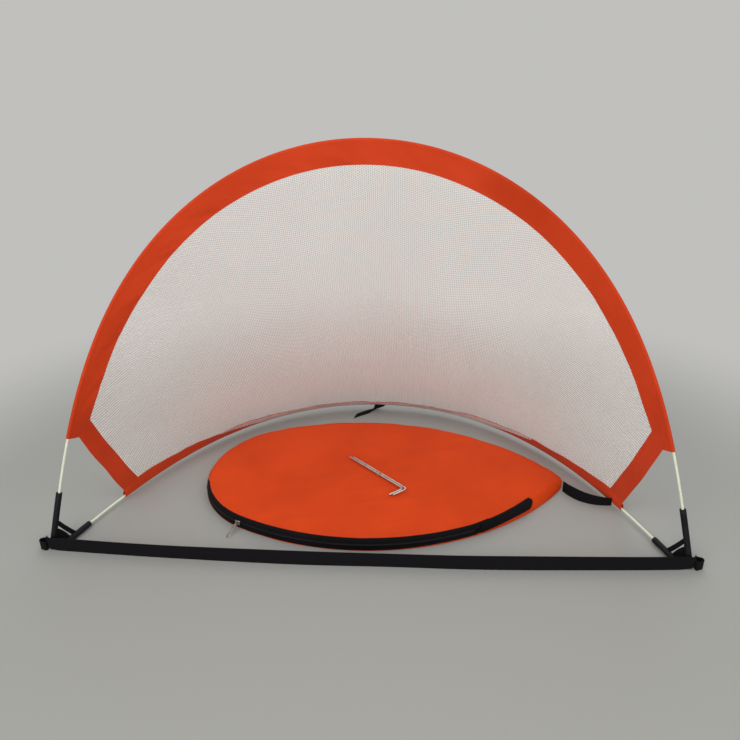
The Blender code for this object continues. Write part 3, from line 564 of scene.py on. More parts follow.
def netFinish():
    material, tree, shader = newMaterial("netThread", sheen=0.2, specular=0.25)
    holes = placeGroup(tree, knittedNet, Where=flatUv(tree), Cell=0.0046, Open=-0.42)
    tone = placeGroup(tree, slowTone, Where=inPlace(tree), Broad=4.0, Fine=300.0)
    twoTone(tree, shader, tone.outputs["Tone"], (0.85, 0.78, 0.72), (0.92, 0.86, 0.81))
    tree.links.new(between(tree, tone.outputs["Mottle"], 0.7, 0.85), shader.inputs["Roughness"])
    tree.links.new(holes.outputs["Thread"], shader.inputs["Alpha"])
    bumps(tree, shader, (holes.outputs["Height"], 0.0006, 0.7))
    return material


def webbingFinish(name, pitch):
    material, tree, shader = newMaterial(name, sheen=0.01, sheenRoughness=0.5, specular=0.07)
    ribs = placeGroup(tree, webbingRib, Where=flatUv(tree), Pitch=pitch)
    tone = placeGroup(tree, slowTone, Where=inPlace(tree), Broad=22.0, Fine=420.0)
    # base colour follows the rib height: painted shade in the troughs between ribs, a painted
    # lighter tone on the crests
    twoTone(tree, shader, ribs.outputs["Height"], (0.0025, 0.002, 0.0025), (0.0075, 0.0065, 0.008),
            0.1, 0.9)
    tree.links.new(between(tree, tone.outputs["Tone"], 0.68, 0.85), shader.inputs["Roughness"])
    bumps(tree, shader, (tone.outputs["Mottle"], 0.0003, 0.4),
          (ribs.outputs["Height"], 0.0004, 0.8))
    return material


def plasticFinish():
    material, tree, shader = newMaterial("blackSleeving", specular=0.15)
    tone = placeGroup(tree, slowTone, Where=inPlace(tree), Broad=40.0, Fine=700.0)
    twoTone(tree, shader, tone.outputs["Tone"], (0.004, 0.004, 0.006), (0.009, 0.0085, 0.011))
    tree.links.new(between(tree, tone.outputs["Tone"], 0.38, 0.58), shader.inputs["Roughness"])
    bumps(tree, shader, (tone.outputs["Mottle"], 0.00015, 0.4))
    return material


def fibreFinish():
    material, tree, shader = newMaterial("fibreglassRod", coat=0.25, coatRoughness=0.25)
    stretch = addNode(tree, "ShaderNodeMapping")
    stretch.inputs["Scale"].default_value = (900.0, 900.0, 60.0)
    tree.links.new(inPlace(tree), stretch.inputs["Vector"])
    streak = addNode(tree, "ShaderNodeTexNoise")
    streak.inputs["Scale"].default_value = 1.0
    tree.links.new(stretch.outputs["Vector"], streak.inputs["Vector"])
    twoTone(tree, shader, streak.outputs["Fac"], (0.52, 0.56, 0.42), (0.70, 0.72, 0.58))
    tree.links.new(between(tree, streak.outputs["Fac"], 0.28, 0.45), shader.inputs["Roughness"])
    bumps(tree, shader, (streak.outputs["Fac"], 0.0001, 0.3))
    return material


def metalFinish(name, colour, rough, wear):
    material, tree, shader = newMaterial(name, metallic=1.0)
    tone = placeGroup(tree, slowTone, Where=inPlace(tree), Broad=120.0, Fine=1600.0)
    twoTone(tree, shader, tone.outputs["Tone"], tuple(c * wear for c in colour), colour, 0.25, 0.6)
    tree.links.new(between(tree, tone.outputs["Tone"], rough + 0.12, rough),
                   shader.inputs["Roughness"])
    bumps(tree, shader, (tone.outputs["Mottle"], 0.00005, 0.35))
    return material


def rubberFinish():
    material, tree, shader = newMaterial("rubberBand", specular=0.4)
    tone = placeGroup(tree, slowTone, Where=inPlace(tree), Broad=200.0, Fine=2500.0)
    twoTone(tree, shader, tone.outputs["Tone"], (0.30, 0.15, 0.03), (0.46, 0.27, 0.08))
    tree.links.new(between(tree, tone.outputs["Mottle"], 0.45, 0.62), shader.inputs["Roughness"])
    bumps(tree, shader, (tone.outputs["Mottle"], 0.00008, 0.5))
    return material


orangeCloth = wovenCloth("orangeCloth", (0.46, 0.035, 0.006), (0.565, 0.047, 0.010),
                         0.66, 0.0008, 0.04)
bagCloth = wovenCloth("bagCloth", (0.52, 0.042, 0.003), (0.62, 0.053, 0.005),
                      0.62, 0.0007, 0.015)
zipTapeCloth = wovenCloth("zipTapeCloth", (0.003, 0.0025, 0.003), (0.006, 0.005, 0.006),
                          0.8, 0.0006, 0.01)
orangeThread = threadFinish("orangeThread", (0.62, 0.075, 0.025))
blackThread = threadFinish("blackThread", (0.011, 0.010, 0.012))
netThread = netFinish()
blackWebbing = webbingFinish("blackWebbing", 0.0013)
blackSleeving = plasticFinish()
fibreglassRod = fibreFinish()
brightChrome = metalFinish("brightChrome", (0.50, 0.48, 0.45), 0.12, 0.5)
pegSteel = metalFinish("pegSteel", (0.66, 0.65, 0.64), 0.2, 0.7)
rubberBand = rubberFinish()
coilNylon = threadFinish("coilNylon", (0.010, 0.0095, 0.011))
print("finishes ready")


# rods and their end tubes
def rodCurve(name, points, radius, sides, sizes=None, angle=50.0):
    curve = bpy.data.curves.new(name, "CURVE")
    curve.dimensions = "3D"
    curve.bevel_depth, curve.bevel_resolution, curve.use_fill_caps = radius, sides, True
    spline = curve.splines.new("POLY")
    spline.points.add(len(points) - 1)
    for spot, point, size in zip(spline.points, points, sizes or [1.0] * len(points)):
        spot.co, spot.radius = (*point, 1.0), size
    piece = bpy.data.objects.new(name, curve)
    bpy.context.scene.collection.objects.link(piece)
    pick(piece)
    bpy.ops.object.convert(target="MESH")
    piece = newest(name)
    mergeClose(piece, 0.000005)
    faceOutwards(piece)
    smooth(piece, angle)
    return piece


for name, bow, body, node in (("frontRod", frontBow, "arch", "front_rod"),
                              ("baseRod", baseBow, "base", "base_rod")):
    ways = np.linspace(rods["inset"], bow.length - rods["inset"], 260)
    rod = rodCurve(name, [bow.at(s)[0] for s in ways], rods["radius"], 5)
    settle(rod, fibreglassRod, body, node)

endTube = {
    "radius": 0.00575, "bore": 0.0029, "rim": 0.0008, "sides": 28,
    "frontLong": 0.111, "baseLong": 0.074, "mouth": 0.030,
}


def turned(name, profile, sides):        # a ring drawn up through (radius, height) steps
    bpy.ops.object.select_all(action="DESELECT")
    radius, height = profile[0]
    bpy.ops.mesh.primitive_circle_add(vertices=sides, radius=radius, fill_type="NGON",
                                      location=(0.0, 0.0, height))
    piece = newest(name)
    bpy.ops.object.transform_apply(location=True)
    bpy.ops.object.mode_set(mode="EDIT")
    bpy.ops.mesh.select_all(action="SELECT")
    for after, up in profile[1:]:
        bpy.ops.mesh.extrude_region_move(TRANSFORM_OT_translate={"value": (0.0, 0.0, up - height)})
        bpy.ops.transform.resize(value=(after / radius, after / radius, 1.0))
        radius, height = after, up
    bpy.ops.object.mode_set(mode="OBJECT")
    faceOutwards(piece)
    return piece


def layOnRod(piece, bow, fromLeft):        # straight along Z first, then bent with the rod
    points = []
    for x, y, z in getPoints(piece):
        centre, tangent, inward = bow.at(z if fromLeft else bow.length - z)
        points.append(centre + inward * x + np.cross(tangent, inward) * y)
    setPoints(piece, points)
    faceOutwards(piece)


def tubeProfile(say, long):
    r, rim = say["radius"], say["rim"]
    steps = [(r * math.sin(a), r * (1 - math.cos(a)) - r)
             for a in np.radians([12, 30, 50, 70, 90])]
    steps += [(r, long * k / 8) for k in range(1, 8)]
    steps += [(r, long - rim), (r - rim * 0.3, long - rim * 0.3), (r - rim, long)]
    steps += [(say["bore"] + 0.0003, long), (say["bore"], long - 0.0003)]
    return steps + [(say["bore"], long - say["mouth"])]


for side, isLeft in (("Left", True), ("Right", False)):
    for part, bow, body in (("front", frontBow, "arch"), ("base", baseBow, "base")):
        tube = turned(part + "Tube" + side, tubeProfile(endTube, endTube[part + "Long"]),
                      endTube["sides"])
        layOnRod(tube, bow, isLeft)
        smooth(tube, 45.0)
        settle(tube, blackSleeving, body, part + "_tube_" + side.lower())
print("rods and end tubes done")


# sleeves, corner bands and net
sewing = {
    "width": 0.040, "baseWidth": 0.031, "endShare": 0.62,
    "frontStart": 0.222, "frontRun": 0.036, "frontLowWidth": 0.036,
    "baseStart": 0.172, "baseRun": 0.040, "baseLowWidth": 0.023,
    "frontTilt": 12.0, "frontEndTilt": 82.0,
    "netSag": 0.20, "bandSteps": 12, "netSteps": 228, "netRows": 64,
    "cloth": 0.0005, "layers": 0.00042, "pocket": 0.00335, "throat": 0.0088,
    "puff": 0.0004, "wave": 0.0030, "loose": 0.85, "tuck": 0.004,
    "bandSag": 0.30, "easeSteps": 46, "lean": 0.42, "leanRange": (0.37, 0.25),
    "lapRows": 8, "lapNear": 0.15, "lapFar": 0.25, "lapLift": 0.0008,
    "seamInset": 0.0032, "seamLift": 0.00022, "frontSeed": 1.7, "baseSeed": 5.2,
}
seamStitch = {"pitch": 0.0042, "long": 0.0030, "thread": 0.00042, "lift": 0.0001}


def sewnStations(length, start, run):
    band = [start + run * k / sewing["bandSteps"] for k in range(sewing["bandSteps"] + 1)]
    inner = length - 2 * (start + run)
    middle = [start + run + inner * k / sewing["netSteps"] for k in range(1, sewing["netSteps"])]
    return band + middle + [length - s for s in reversed(band)]


def sleeveWidth(s, length, start, run, low, high):
    share = clamp((min(s, length - s) - start) / run)
    full = low + (high - low) * math.sin(math.pi * s / length)
    return full * (sewing["endShare"] + (1 - sewing["endShare"]) * share)


def netLine(frontPoint, basePoint):
    line = frontPoint - basePoint
    return line, sewing["netSag"] * math.hypot(line[0], line[1])


def frontSection(s):
    centre, tangent, inward = frontBow.at(s)
    share = 1 - math.sin(math.pi * s / frontBow.length)
    low, high = sewing["frontTilt"], sewing["frontEndTilt"]
    tilt = math.radians(low + (high - low) * share)
    flap = inward * math.cos(tilt) - frontBow.normal * math.sin(tilt)
    width = sleeveWidth(s, frontBow.length, sewing["frontStart"], sewing["frontRun"],
                        sewing["frontLowWidth"], sewing["width"])
    return centre, tangent, flap, width


def baseSection(s, frontCentre):
    centre, tangent, _ = baseBow.at(s)
    line, sag = netLine(frontCentre, centre)
    away = abs(s / baseBow.length - 0.5)        # the hem leans in more along the middle
    sag *= 1 + sewing["lean"] * easing(away, *sewing["leanRange"])
    pull = line - np.array([0.0, 0.0, 4 * sag])
    flap = unit(pull - tangent * pull.dot(tangent))
    width = sleeveWidth(s, baseBow.length, sewing["baseStart"], sewing["baseRun"],
                        sewing["baseLowWidth"], sewing["baseWidth"])
    return centre, tangent, flap, width


frontWays = sewnStations(frontBow.length, sewing["frontStart"], sewing["frontRun"])
baseWays = sewnStations(baseBow.length, sewing["baseStart"], sewing["baseRun"])
frontSections = [frontSection(s) for s in frontWays]
baseSections = [baseSection(s, f[0]) for s, f in zip(baseWays, frontSections)]


def flapWave(s, p, width, seed):        # soft creases that run slanting over the flap
    reach = max(p - 0.006, 0.0) / max(width, 0.001)
    broad = wave(s * 12.0 - p * 26.0, seed, p * 9.0)
    fine = wave(s * 40.0 - p * 75.0, seed + 7.3, p * 20.0) * 0.4
    return sewing["wave"] * reach * (broad + fine)


def onFlap(section, s, p, seed, lift=0.0):
    centre, tangent, flap, width = section
    side = np.cross(tangent, flap)
    return centre + flap * p + side * (flapWave(s, p, width, seed) + lift)


def sleeveLift(p, width):        # half the sleeve's depth: round the rod, closing to the hem
    share = clamp((p - sewing["throat"]) / max(width - sewing["throat"], 0.001))
    hollow = (sewing["pocket"] - sewing["layers"]) * (1 - share) ** 1.7 * sewing["loose"]
    return sewing["layers"] + hollow + sewing["puff"] * math.sin(math.pi * share)


def sleevePoints(sections, ways, seed):
    grid, flat = [], []
    for section, s in zip(sections, ways):
        centre, tangent, flap, width = section
        side = np.cross(tangent, flap)
        steps = np.linspace(width, sewing["throat"], 12)
        face = []
        for p in steps:
            share = (p - sewing["throat"]) / max(width - sewing["throat"], 0.001)
            pucker = 0.00012 * math.sin(s * 1500.0) * math.exp(-((share - 0.88) / 0.12) ** 2)
            lift = sleeveLift(p, width) + pucker
            face.append((p, lift, flapWave(s, p, width, seed)))
        row = [centre + flap * p + side * (w + lift) for p, lift, w in face]
        for turn in np.radians(np.linspace(70, 290, 13)):
            row.append(centre + (flap * math.cos(turn) + side * math.sin(turn)) * sewing["pocket"])
        row += [centre + flap * p + side * (w - lift) for p, lift, w in reversed(face)]
        grid.append(row)
        away = runOf(row)
        flat.append([(s, d - away[-1] / 2) for d in away])
    return grid, flat


for name, sections, ways, body, node, seed in (
        ("frontSleeve", frontSections, frontWays, "arch", "front_sleeve", sewing["frontSeed"]),
        ("baseSleeve", baseSections, baseWays, "base", "base_sleeve", sewing["baseSeed"])):
    grid, flat = sleevePoints(sections, ways, seed)
    sleeve = clothGrid(name, grid, flat)
    thicken(sleeve, sewing["cloth"])
    settle(sleeve, orangeCloth, body, node)
    for face, sign in (("Front", 1.0), ("Back", -1.0)):
        path, outward = [], []
        for section, s in zip(sections, ways):
            lift = sewing["layers"] + sewing["cloth"] * 0.5 + sewing["seamLift"]
            path.append(onFlap(section, s, section[3] - sewing["seamInset"], seed, sign * lift))
            outward.append(np.cross(section[1], section[2]) * sign)
        seam = stitchRow(name + "Edge" + face, path, outward, seamStitch)
        settle(seam, orangeThread, body)
print("sleeves done")


def sagShare(index):        # the doubled corner bands are taut, the net beside them less so
    inner = min(index, len(frontWays) - 1 - index) - sewing["bandSteps"]
    return sewing["bandSag"] + (1 - sewing["bandSag"]) * easing(inner, 0.0, sewing["easeSteps"])


def sewnLine(index, rows, tuck, lapRows=2):
    # points up one line of net or band, tucked between the sleeves' layers at both ends;
    # with more lap rows it lies on the inner face of the base sleeve along the middle
    front, base = frontSections[index], baseSections[index]
    s, t = frontWays[index], baseWays[index]
    frontSeed, baseSeed = sewing["frontSeed"], sewing["baseSeed"]
    lowEdge = onFlap(base, t, base[3], baseSeed)
    highEdge = onFlap(front, s, front[3], frontSeed)
    line, sag = netLine(highEdge, lowEdge)
    sag *= sagShare(index)
    lap, over = 0.0, 0.0
    if lapRows > 2:
        away = abs(t / baseBow.length - 0.5)
        over = clamp((sewing["lapFar"] - away) / (sewing["lapFar"] - sewing["lapNear"]))
        lap = (base[3] - 0.0005 - tuck) * over
    points = []
    for k in range(lapRows):
        p = base[3] - (tuck + lap) * (1 - k / lapRows)
        lift = (sleeveLift(p, base[3]) + sewing["lapLift"]) * min(over * 12, 1.0)
        points.append(onFlap(base, t, p, baseSeed, lift))
    for k in range(rows + 1):
        v = k / rows
        ripple = wave(s * 5.0, v * 3.0, 2.2) * 0.004 * math.sin(math.pi * v)
        gather = math.exp(-v * rows / 3.0) + math.exp(-(1 - v) * rows / 3.0)
        pucker = 0.0006 * gather * wave(s * 60.0, v * 4.0, 9.1) * math.sin(math.pi * v) ** 0.2
        points.append(lowEdge + line * v - np.array([0.0, 0.0, 4 * v * (1 - v) * sag])
                      + np.array([0.0, -1.0, 0.6]) * (ripple + pucker))
    points += [onFlap(front, s, front[3] - tuck * k, frontSeed) for k in (0.5, 1.0)]
    return points


def fanEdges(columns, lapRows):        # fold angles of each line's two sewn edges, per point
    angle = foldShare(columns)
    low = np.repeat(angle[:, lapRows:lapRows + 1], angle.shape[1], axis=1)
    high = np.repeat(angle[:, -3:-2], angle.shape[1], axis=1)
    return low.ravel(), high.ravel()


def foldBetweenSleeves(piece, columns, lapRows=2):
    low, high = fanEdges(columns, lapRows)
    foldLikeFan(piece, nearestOf(piece, columns, low), nearestOf(piece, columns, high))


bandEnd, netEnd = sewing["bandSteps"], sewing["bandSteps"] + sewing["netSteps"]
netPoints = np.array([sewnLine(i, sewing["netRows"], sewing["tuck"], sewing["lapRows"])
                      for i in range(bandEnd, netEnd + 1)])
netFlat = np.zeros(netPoints.shape[:2] + (2,))
drop = np.linalg.norm(np.diff(netPoints, axis=1), axis=2)
fall = np.concatenate([np.zeros((len(netPoints), 1)), np.cumsum(drop, axis=1)], axis=1)
share = np.linspace(0.0, 1.0, netPoints.shape[1])[None, :]
baseMid, frontMid = baseBow.length / 2, frontBow.length / 2
netFlat[:, :, 0] = ((np.array(baseWays[bandEnd:netEnd + 1]) - baseMid)[:, None] * (1 - share)
                    + (np.array(frontWays[bandEnd:netEnd + 1]) - frontMid)[:, None] * share)
netFlat[:, :, 1] = fall - fall[:, -1:]
net = clothGrid("goalNet", netPoints, netFlat)
smooth(net, 60.0)
paint(net, netThread)
foldBetweenSleeves(net, netPoints, sewing["lapRows"])
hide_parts("net")
print("net done")

cornerBand = {"cloth": 0.0009, "rows": 44, "tuck": 0.002, "seamInset": 0.0030}
for side, picks in (("Left", range(0, bandEnd + 1)),
                    ("Right", range(netEnd, netEnd + bandEnd + 1))):
    columns = np.array([sewnLine(i, cornerBand["rows"], cornerBand["tuck"]) for i in picks])
    band = clothGrid("cornerBand" + side, columns, flatSpread(columns))
    thicken(band, cornerBand["cloth"], 0.0002)
    paint(band, orangeCloth)
    foldBetweenSleeves(band, columns)
    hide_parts("corner_band_" + side.lower())
    for edge, near, beside in (("Outer", 0, 1), ("Inner", -1, -2)):
        step = unit(columns[beside] - columns[near])
        path = (columns[near] + step * cornerBand["seamInset"])[2:-2]
        across = unit(np.cross(np.gradient(path, axis=0), step[2:-2]))
        for face, sign in (("Front", 1.0), ("Back", -1.0)):
            lift = cornerBand["cloth"] / 2 * sign
            seam = stitchRow("band" + side + edge + face, path + across * lift, across * sign,
                             seamStitch)
            paint(seam, orangeThread)
            foldBetweenSleeves(seam, columns)
print("corner bands done")


# black webbing
webbing = {
    "thick": 0.0015, "edge": 0.0003,
    "strapTall": 0.030, "strapSeat": 0.020, "halfSpan": 0.600, "wrap": 0.00685,
    "strapRound": 0.006, "roundStart": 0.580, "roundRun": 0.027, "seamPlaces": (0.572, 0.562),
    "stayUpper": (0.046, 0.057), "stayLower": (0.032, 0.043), "staySlack": -0.0008,
    "gussetUpper": (0.009, 0.040), "gussetLower": (0.009, 0.027), "gussetCrown": 0.002,
    "tubeSeat": 0.0050,
    "loopReach": 0.016, "loopWide": 0.017, "loopRoot": 0.0035, "loopTip": 0.0055,
    "loopTall": 0.020, "loopStart": 0.6079, "leastWide": 0.0101,
}
blackStitch = {"pitch": 0.0036, "long": 0.0026, "thread": 0.0005, "lift": 0.0001}


def ribbonGrid(name, points, uprights, lanes, thickness=None):        # uprights give the width
    points, uprights = np.asarray(points, float), np.asarray(uprights, float)
    share = np.linspace(-0.5, 0.5, lanes)
    grid = points[:, None, :] + uprights[:, None, :] * share[None, :, None]
    piece = clothGrid(name, grid, flatSpread(grid))
    thicken(piece, thickness or webbing["thick"], webbing["edge"])
    return piece, grid


def sheetSize(grid):
    spread = flatSpread(grid)
    return max(float(spread[:, -1, 1].mean()), webbing["leastWide"]), float(spread[-1, 0, 0])


strapEndY = rods["hingeY"] - webbing["wrap"]
strapPath = []
for turn in np.linspace(math.pi, 1.5 * math.pi, 13):        # round the left front tube
    strapPath.append((-webbing["halfSpan"] + webbing["wrap"] * math.cos(turn),
                      rods["hingeY"] + webbing["wrap"] * math.sin(turn)))
free = webbing["halfSpan"] - webbing["strapSeat"]
for x in np.linspace(-free, free, 161):
    strapPath.append((x, strapEndY * (x / free) ** 2))
strapPath += [(-x, y) for x, y in reversed(strapPath[:13])]
strapPoints, strapUps = [], []
for x, y in strapPath:
    middle = max(0.0, 1 - (x / free) ** 4)
    sway = 0.0012 * wave(x * 5.0, 0.4, 3.3) * middle
    tip = 0.10 * wave(x * 3.1, 7.7, 0.2) * middle
    past = max(0.0, (abs(x) - webbing["roundStart"]) / webbing["roundRun"])
    tall = webbing["strapTall"] - webbing["strapRound"] * past ** 2        # drawn up at the ends
    strapPoints.append((x, y + sway, webbing["strapTall"] - tall / 2 + 0.0001))
    strapUps.append((0.0, tip * tall, tall))
groundStrap, grid = ribbonGrid("groundStrap", strapPoints, strapUps, 9)
settle(groundStrap, blackWebbing, "base", "ground_strap")
for side in (-1, 1):
    for k, x in enumerate(webbing["seamPlaces"]):        # two rows sewn through beside each corner
        y = strapEndY * (min(x, free) / free) ** 2 - webbing["thick"] / 2
        path = [(side * x, y, z) for z in np.linspace(0.003, 0.027, 12)]
        seam = stitchRow("strapSeam" + ("Left" if side < 0 else "Right") + str(k + 1), path,
                         [(0.0, -1.0, 0.0)] * 12, blackStitch)
        settle(seam, blackThread, "base")
sheetSize(grid)


def cornerWeb(isLeft, near, far, lower, crown, rows, lanes):
    # webbing from the front tube, near to far along it, down to the base tube nearer the corner
    ends = [bow.at(0.0 if isLeft else bow.length)[0] for bow in (frontBow, baseBow)]
    corner = (ends[0] + ends[1]) / 2
    grid = []
    for reach in np.linspace(near, far, lanes):
        a, frontWay, _ = frontBow.at(reach if isLeft else frontBow.length - reach)
        low = lower[0] + (lower[1] - lower[0]) * (reach - near) / (far - near)
        b, baseWay, _ = baseBow.at(low if isLeft else baseBow.length - low)
        across = unit(b - a)
        start = a + across * webbing["tubeSeat"] / np.linalg.norm(np.cross(frontWay, across))
        end = b - across * webbing["tubeSeat"] / np.linalg.norm(np.cross(baseWay, across))
        outward = unit((start + end) / 2 - corner)
        grid.append([start + (end - start) * t + outward * (4 * t * (1 - t) * crown)
                     for t in np.linspace(0.0, 1.0, rows)])
    return np.array(grid).transpose(1, 0, 2)


for side, isLeft in (("Left", True), ("Right", False)):
    for name, node, upper, lower, crown in (
            ("stayStrap", "stay_strap_", webbing["stayUpper"], webbing["stayLower"],
             webbing["staySlack"]),
            ("cornerGusset", "corner_gusset_", webbing["gussetUpper"], webbing["gussetLower"],
             webbing["gussetCrown"])):
        grid = cornerWeb(isLeft, *upper, lower, crown, 21, 7)
        web = clothGrid(name + side, grid, flatSpread(grid))
        thicken(web, webbing["thick"], webbing["edge"])
        paint(web, blackWebbing)
        shares = np.repeat(np.linspace(1.0, 0.0, len(grid))[:, None], grid.shape[1], axis=1)
        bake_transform(web)
        nearShare = nearestOf(web, grid, shares.ravel()).astype(np.float32)
        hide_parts(node + side.lower())
        sheetSize(grid)


def loopOutline(count):        # a belt round two small circles at the root and one at the tip
    half = webbing["loopWide"] / 2 - webbing["loopRoot"]
    circles = [(webbing["loopStart"] + webbing["loopRoot"], -half, webbing["loopRoot"]),
               (webbing["loopStart"] + webbing["loopRoot"], half, webbing["loopRoot"]),
               (webbing["loopStart"] + webbing["loopReach"] - webbing["loopTip"], 0.0,
                webbing["loopTip"])]
    points = []
    for k in range(count):
        out = (math.cos(2 * math.pi * k / count), math.sin(2 * math.pi * k / count))
        best = max(circles, key=lambda c: c[0] * out[0] + c[1] * out[1] + c[2])
        points.append((best[0] + out[0] * (best[2] - webbing["thick"] / 2),
                       best[1] + out[1] * (best[2] - webbing["thick"] / 2) + rods["hingeY"]))
    return points + points[:1]


for side, sign in (("Left", -1.0), ("Right", 1.0)):
    outline = loopOutline(72)
    loop, grid = ribbonGrid("pegLoop" + side,
                            [(sign * x, y, webbing["loopTall"] / 2 + 0.0001) for x, y in outline],
                            [(0.0, 0.0, webbing["loopTall"])] * len(outline), 7,
                            webbing["thick"] * 0.9)
    mergeClose(loop, 0.00005)
    settle(loop, blackWebbing, "base", "peg_loop_" + side.lower())
    sheetSize(grid)

tether = {
    "wide": 0.025, "backX": 0.002, "turnOver": 0.65,
    "sidePlace": 0.885, "sideBend": (0.4370, 0.2030), "sideStartTall": 0.018,
    "hem": 0.00367, "gap": 0.0003, "sideEnd": (0.4090, 0.2530),
}
middle = baseBow.at(baseBow.length / 2)[0]
top = np.array([tether["backX"], middle[1] - tether["hem"] - tether["gap"] - 0.0008, middle[2]])
knots = np.array([(0.004, 0.0, 0.0), (-0.002, -0.002, -0.0165), (-0.022, -0.005, -0.0165),
                  (-0.058, -0.037, -0.0152)]) + top
points, widths = [], []
for t in np.linspace(0.0, 1.0, 41):        # hangs from the hem, turned over onto the floor
    r = 1 - t
    place = (knots[0] * r ** 3 + knots[1] * 3 * r * r * t + knots[2] * 3 * r * t * t
             + knots[3] * t ** 3)
    turn = math.radians(2 + 72 * min(t / tether["turnOver"], 1.0))
    wide = np.array([math.cos(turn), math.sin(turn), 0.0]) * tether["wide"] * (1.12 - 0.25 * t)
    points.append((place[0], place[1], max(place[2], 0.0012)))
    widths.append(wide)
backTether, grid = ribbonGrid("backTether", points, widths, 9)
settle(backTether, blackWebbing, "base", "back_tether")

centre, _, inward = baseBow.at(baseBow.length * tether["sidePlace"])
start = (centre + inward * (tether["hem"] + tether["gap"]))[:2]
bend, end = np.array(tether["sideBend"]), np.array(tether["sideEnd"])
points, widths = [], []
for t in np.linspace(0.0, 1.0, 41):
    place = (start * (1 - t) + bend * t) * (1 - t) + (bend * (1 - t) + end * t) * t
    tall = tether["sideStartTall"] + (tether["wide"] - tether["sideStartTall"]) * min(t * 1.4, 1.0)
    lean = 0.16 * math.sin(math.pi * t)
    points.append((place[0], place[1], tall / 2 + 0.0002))
    widths.append((0.0, lean * tall, tall))
sideTether, grid = ribbonGrid("sideTether", points, widths, 9)
settle(sideTether, blackWebbing, "base", "side_tether")
sheetSize(grid)
print("webbing done")


# carry bag: two oval panels, zipped along the front, lying empty and flat
bag = {
    "left": (-0.166991, 0.266999, 0.188), "right": (0.373146, 0.272999, 0.037),
    "frontRadius": 0.519, "backRadius": 0.541,
    "crown": 0.0256, "panel": 0.0006,
    "zipStart": -168.0, "zipTurn": -64.0, "zipEnd": -48.5,
    "seamHigh": 0.0110,
    "soft": 0.0045, "softEnd": 0.013, "bandBulge": 2.4, "topSide": 150, "bottomSides": 300,
}


def arcCentre(radius, side):
    (lx, ly, lr), (rx, ry, rr) = bag["left"], bag["right"]
    span = math.hypot(rx - lx, ry - ly)
    along = np.array([rx - lx, ry - ly]) / span
    toLeft, toRight = radius - lr, radius - rr
    x = (span ** 2 + toLeft ** 2 - toRight ** 2) / (2 * span)
    back = np.array([-along[1], along[0]])
    return np.array([lx, ly]) + along * x + back * side * math.sqrt(toLeft ** 2 - x ** 2)


def headingOf(a, b):
    return math.atan2(b[1] - a[1], b[0] - a[0])


def bagArcs():
    left, right = np.array(bag["left"][:2]), np.array(bag["right"][:2])
    front, back = arcCentre(bag["frontRadius"], 1), arcCentre(bag["backRadius"], -1)
    a, b = headingOf(front, left), headingOf(front, right)
    c, d = headingOf(back, right), headingOf(back, left)
    return [(front, bag["frontRadius"], a, b), (right, bag["right"][2], b, c),
            (back, bag["backRadius"], c, d), (left, bag["left"][2], d, a + 2 * math.pi)]


outlineArcs = bagArcs()


def bagEdge(angle, inset=0.0):        # outline point that faces the given way, drawn in
    for centre, radius, first, last in outlineArcs:
        for facing in (angle, angle + 2 * math.pi, angle - 2 * math.pi):
            if first <= facing <= last:
                out = np.array([math.cos(angle), math.sin(angle)])
                return centre + out * (radius - inset), out
    raise ValueError("no arc faces this way")


def wrapped(degrees):        # the same angle, from -180 up to 180
    return (degrees + 180.0) % 360.0 - 180.0


def mix(a, b, t):
    return tuple(x + (y - x) * t for x, y in zip(a, b))


bagSeams = {        # (inset, height) of the cloth's edges along the zip and where it ends
    "seam": (0.0010, 0.0110), "low": (0.0016, 0.0016), "lowRight": (0.0016, 0.0042),
    "high": (0.0068, 0.0250), "tailLow": (0.0036, 0.0115), "tailHigh": (0.0165, 0.0250),
    "closed": (0.0100, 0.0185),
}


def openLips(degrees):        # the lower and upper edge of the zip's band
    d = wrapped(degrees)
    low = mix(bagSeams["low"], bagSeams["lowRight"], easing(d, -88.0, -68.0))
    if d < -150.0 or d > 90.0:        # left end: the slit opens out of the seam
        t = easing(d if d < 0 else d - 360.0, -178.0, -164.0)
        return mix(bagSeams["seam"], low, t), mix(bagSeams["seam"], bagSeams["high"], t)
    t = clamp((d - bag["zipTurn"]) / (bag["zipEnd"] - bag["zipTurn"]))        # right: it turns up
    return (mix(low, bagSeams["tailLow"], math.sin(math.pi / 2 * t)),
            mix(bagSeams["high"], bagSeams["tailHigh"], t))


def bagLips(degrees):        # the panels' edges: as the band's, but shut beyond the zip's end
    d = wrapped(degrees)
    low, high = openLips(degrees)
    if bag["zipEnd"] - 2.6 < d <= 90.0:
        t = easing(d, bag["zipEnd"] - 2.6, bag["zipEnd"] - 0.5)
        u = easing(d, bag["zipEnd"] - 0.5, bag["zipEnd"] + 40.0)
        shut = mix(bagSeams["closed"], bagSeams["seam"], u)
        return mix(low, shut, t), mix(high, shut, t)
    return low, high


def bagPoint(degrees, inset, height):
    place, _ = bagEdge(math.radians(wrapped(degrees)), inset)
    return np.array([place[0], place[1], height])


def topHeight(x, y, fromLip, lipHeight, gather, soft):
    lift = 1 - math.exp(-fromLip / soft)
    sag = 0.0011 * wave(x * 6.0, y * 6.0, 1.1) + 0.0006 * wave(x * 17.0 + y * 9.0, y * 15.0, 4.2)
    crease = 0.0011 * abs(wave(x * 9.0 - y * 21.0, x * 5.0 + y * 3.0, 8.8))
    pucker = 0.0008 * gather * math.exp(-fromLip / 0.022) * (1 - math.exp(-fromLip / 0.004))
    flat = bag["crown"] + min(sag - crease, 0.0002)
    return lipHeight + (flat - lipHeight) * lift + pucker


bagMiddle = np.array([0.075, 0.268])
rimDegrees = np.linspace(-180.0, 180.0, 1441)
rimPlan = np.array([bagPoint(d, bagLips(d)[1][0], 0.0)[:2] for d in rimDegrees]) - bagMiddle
rimTurn = np.unwrap(np.arctan2(rimPlan[:, 1], rimPlan[:, 0]))


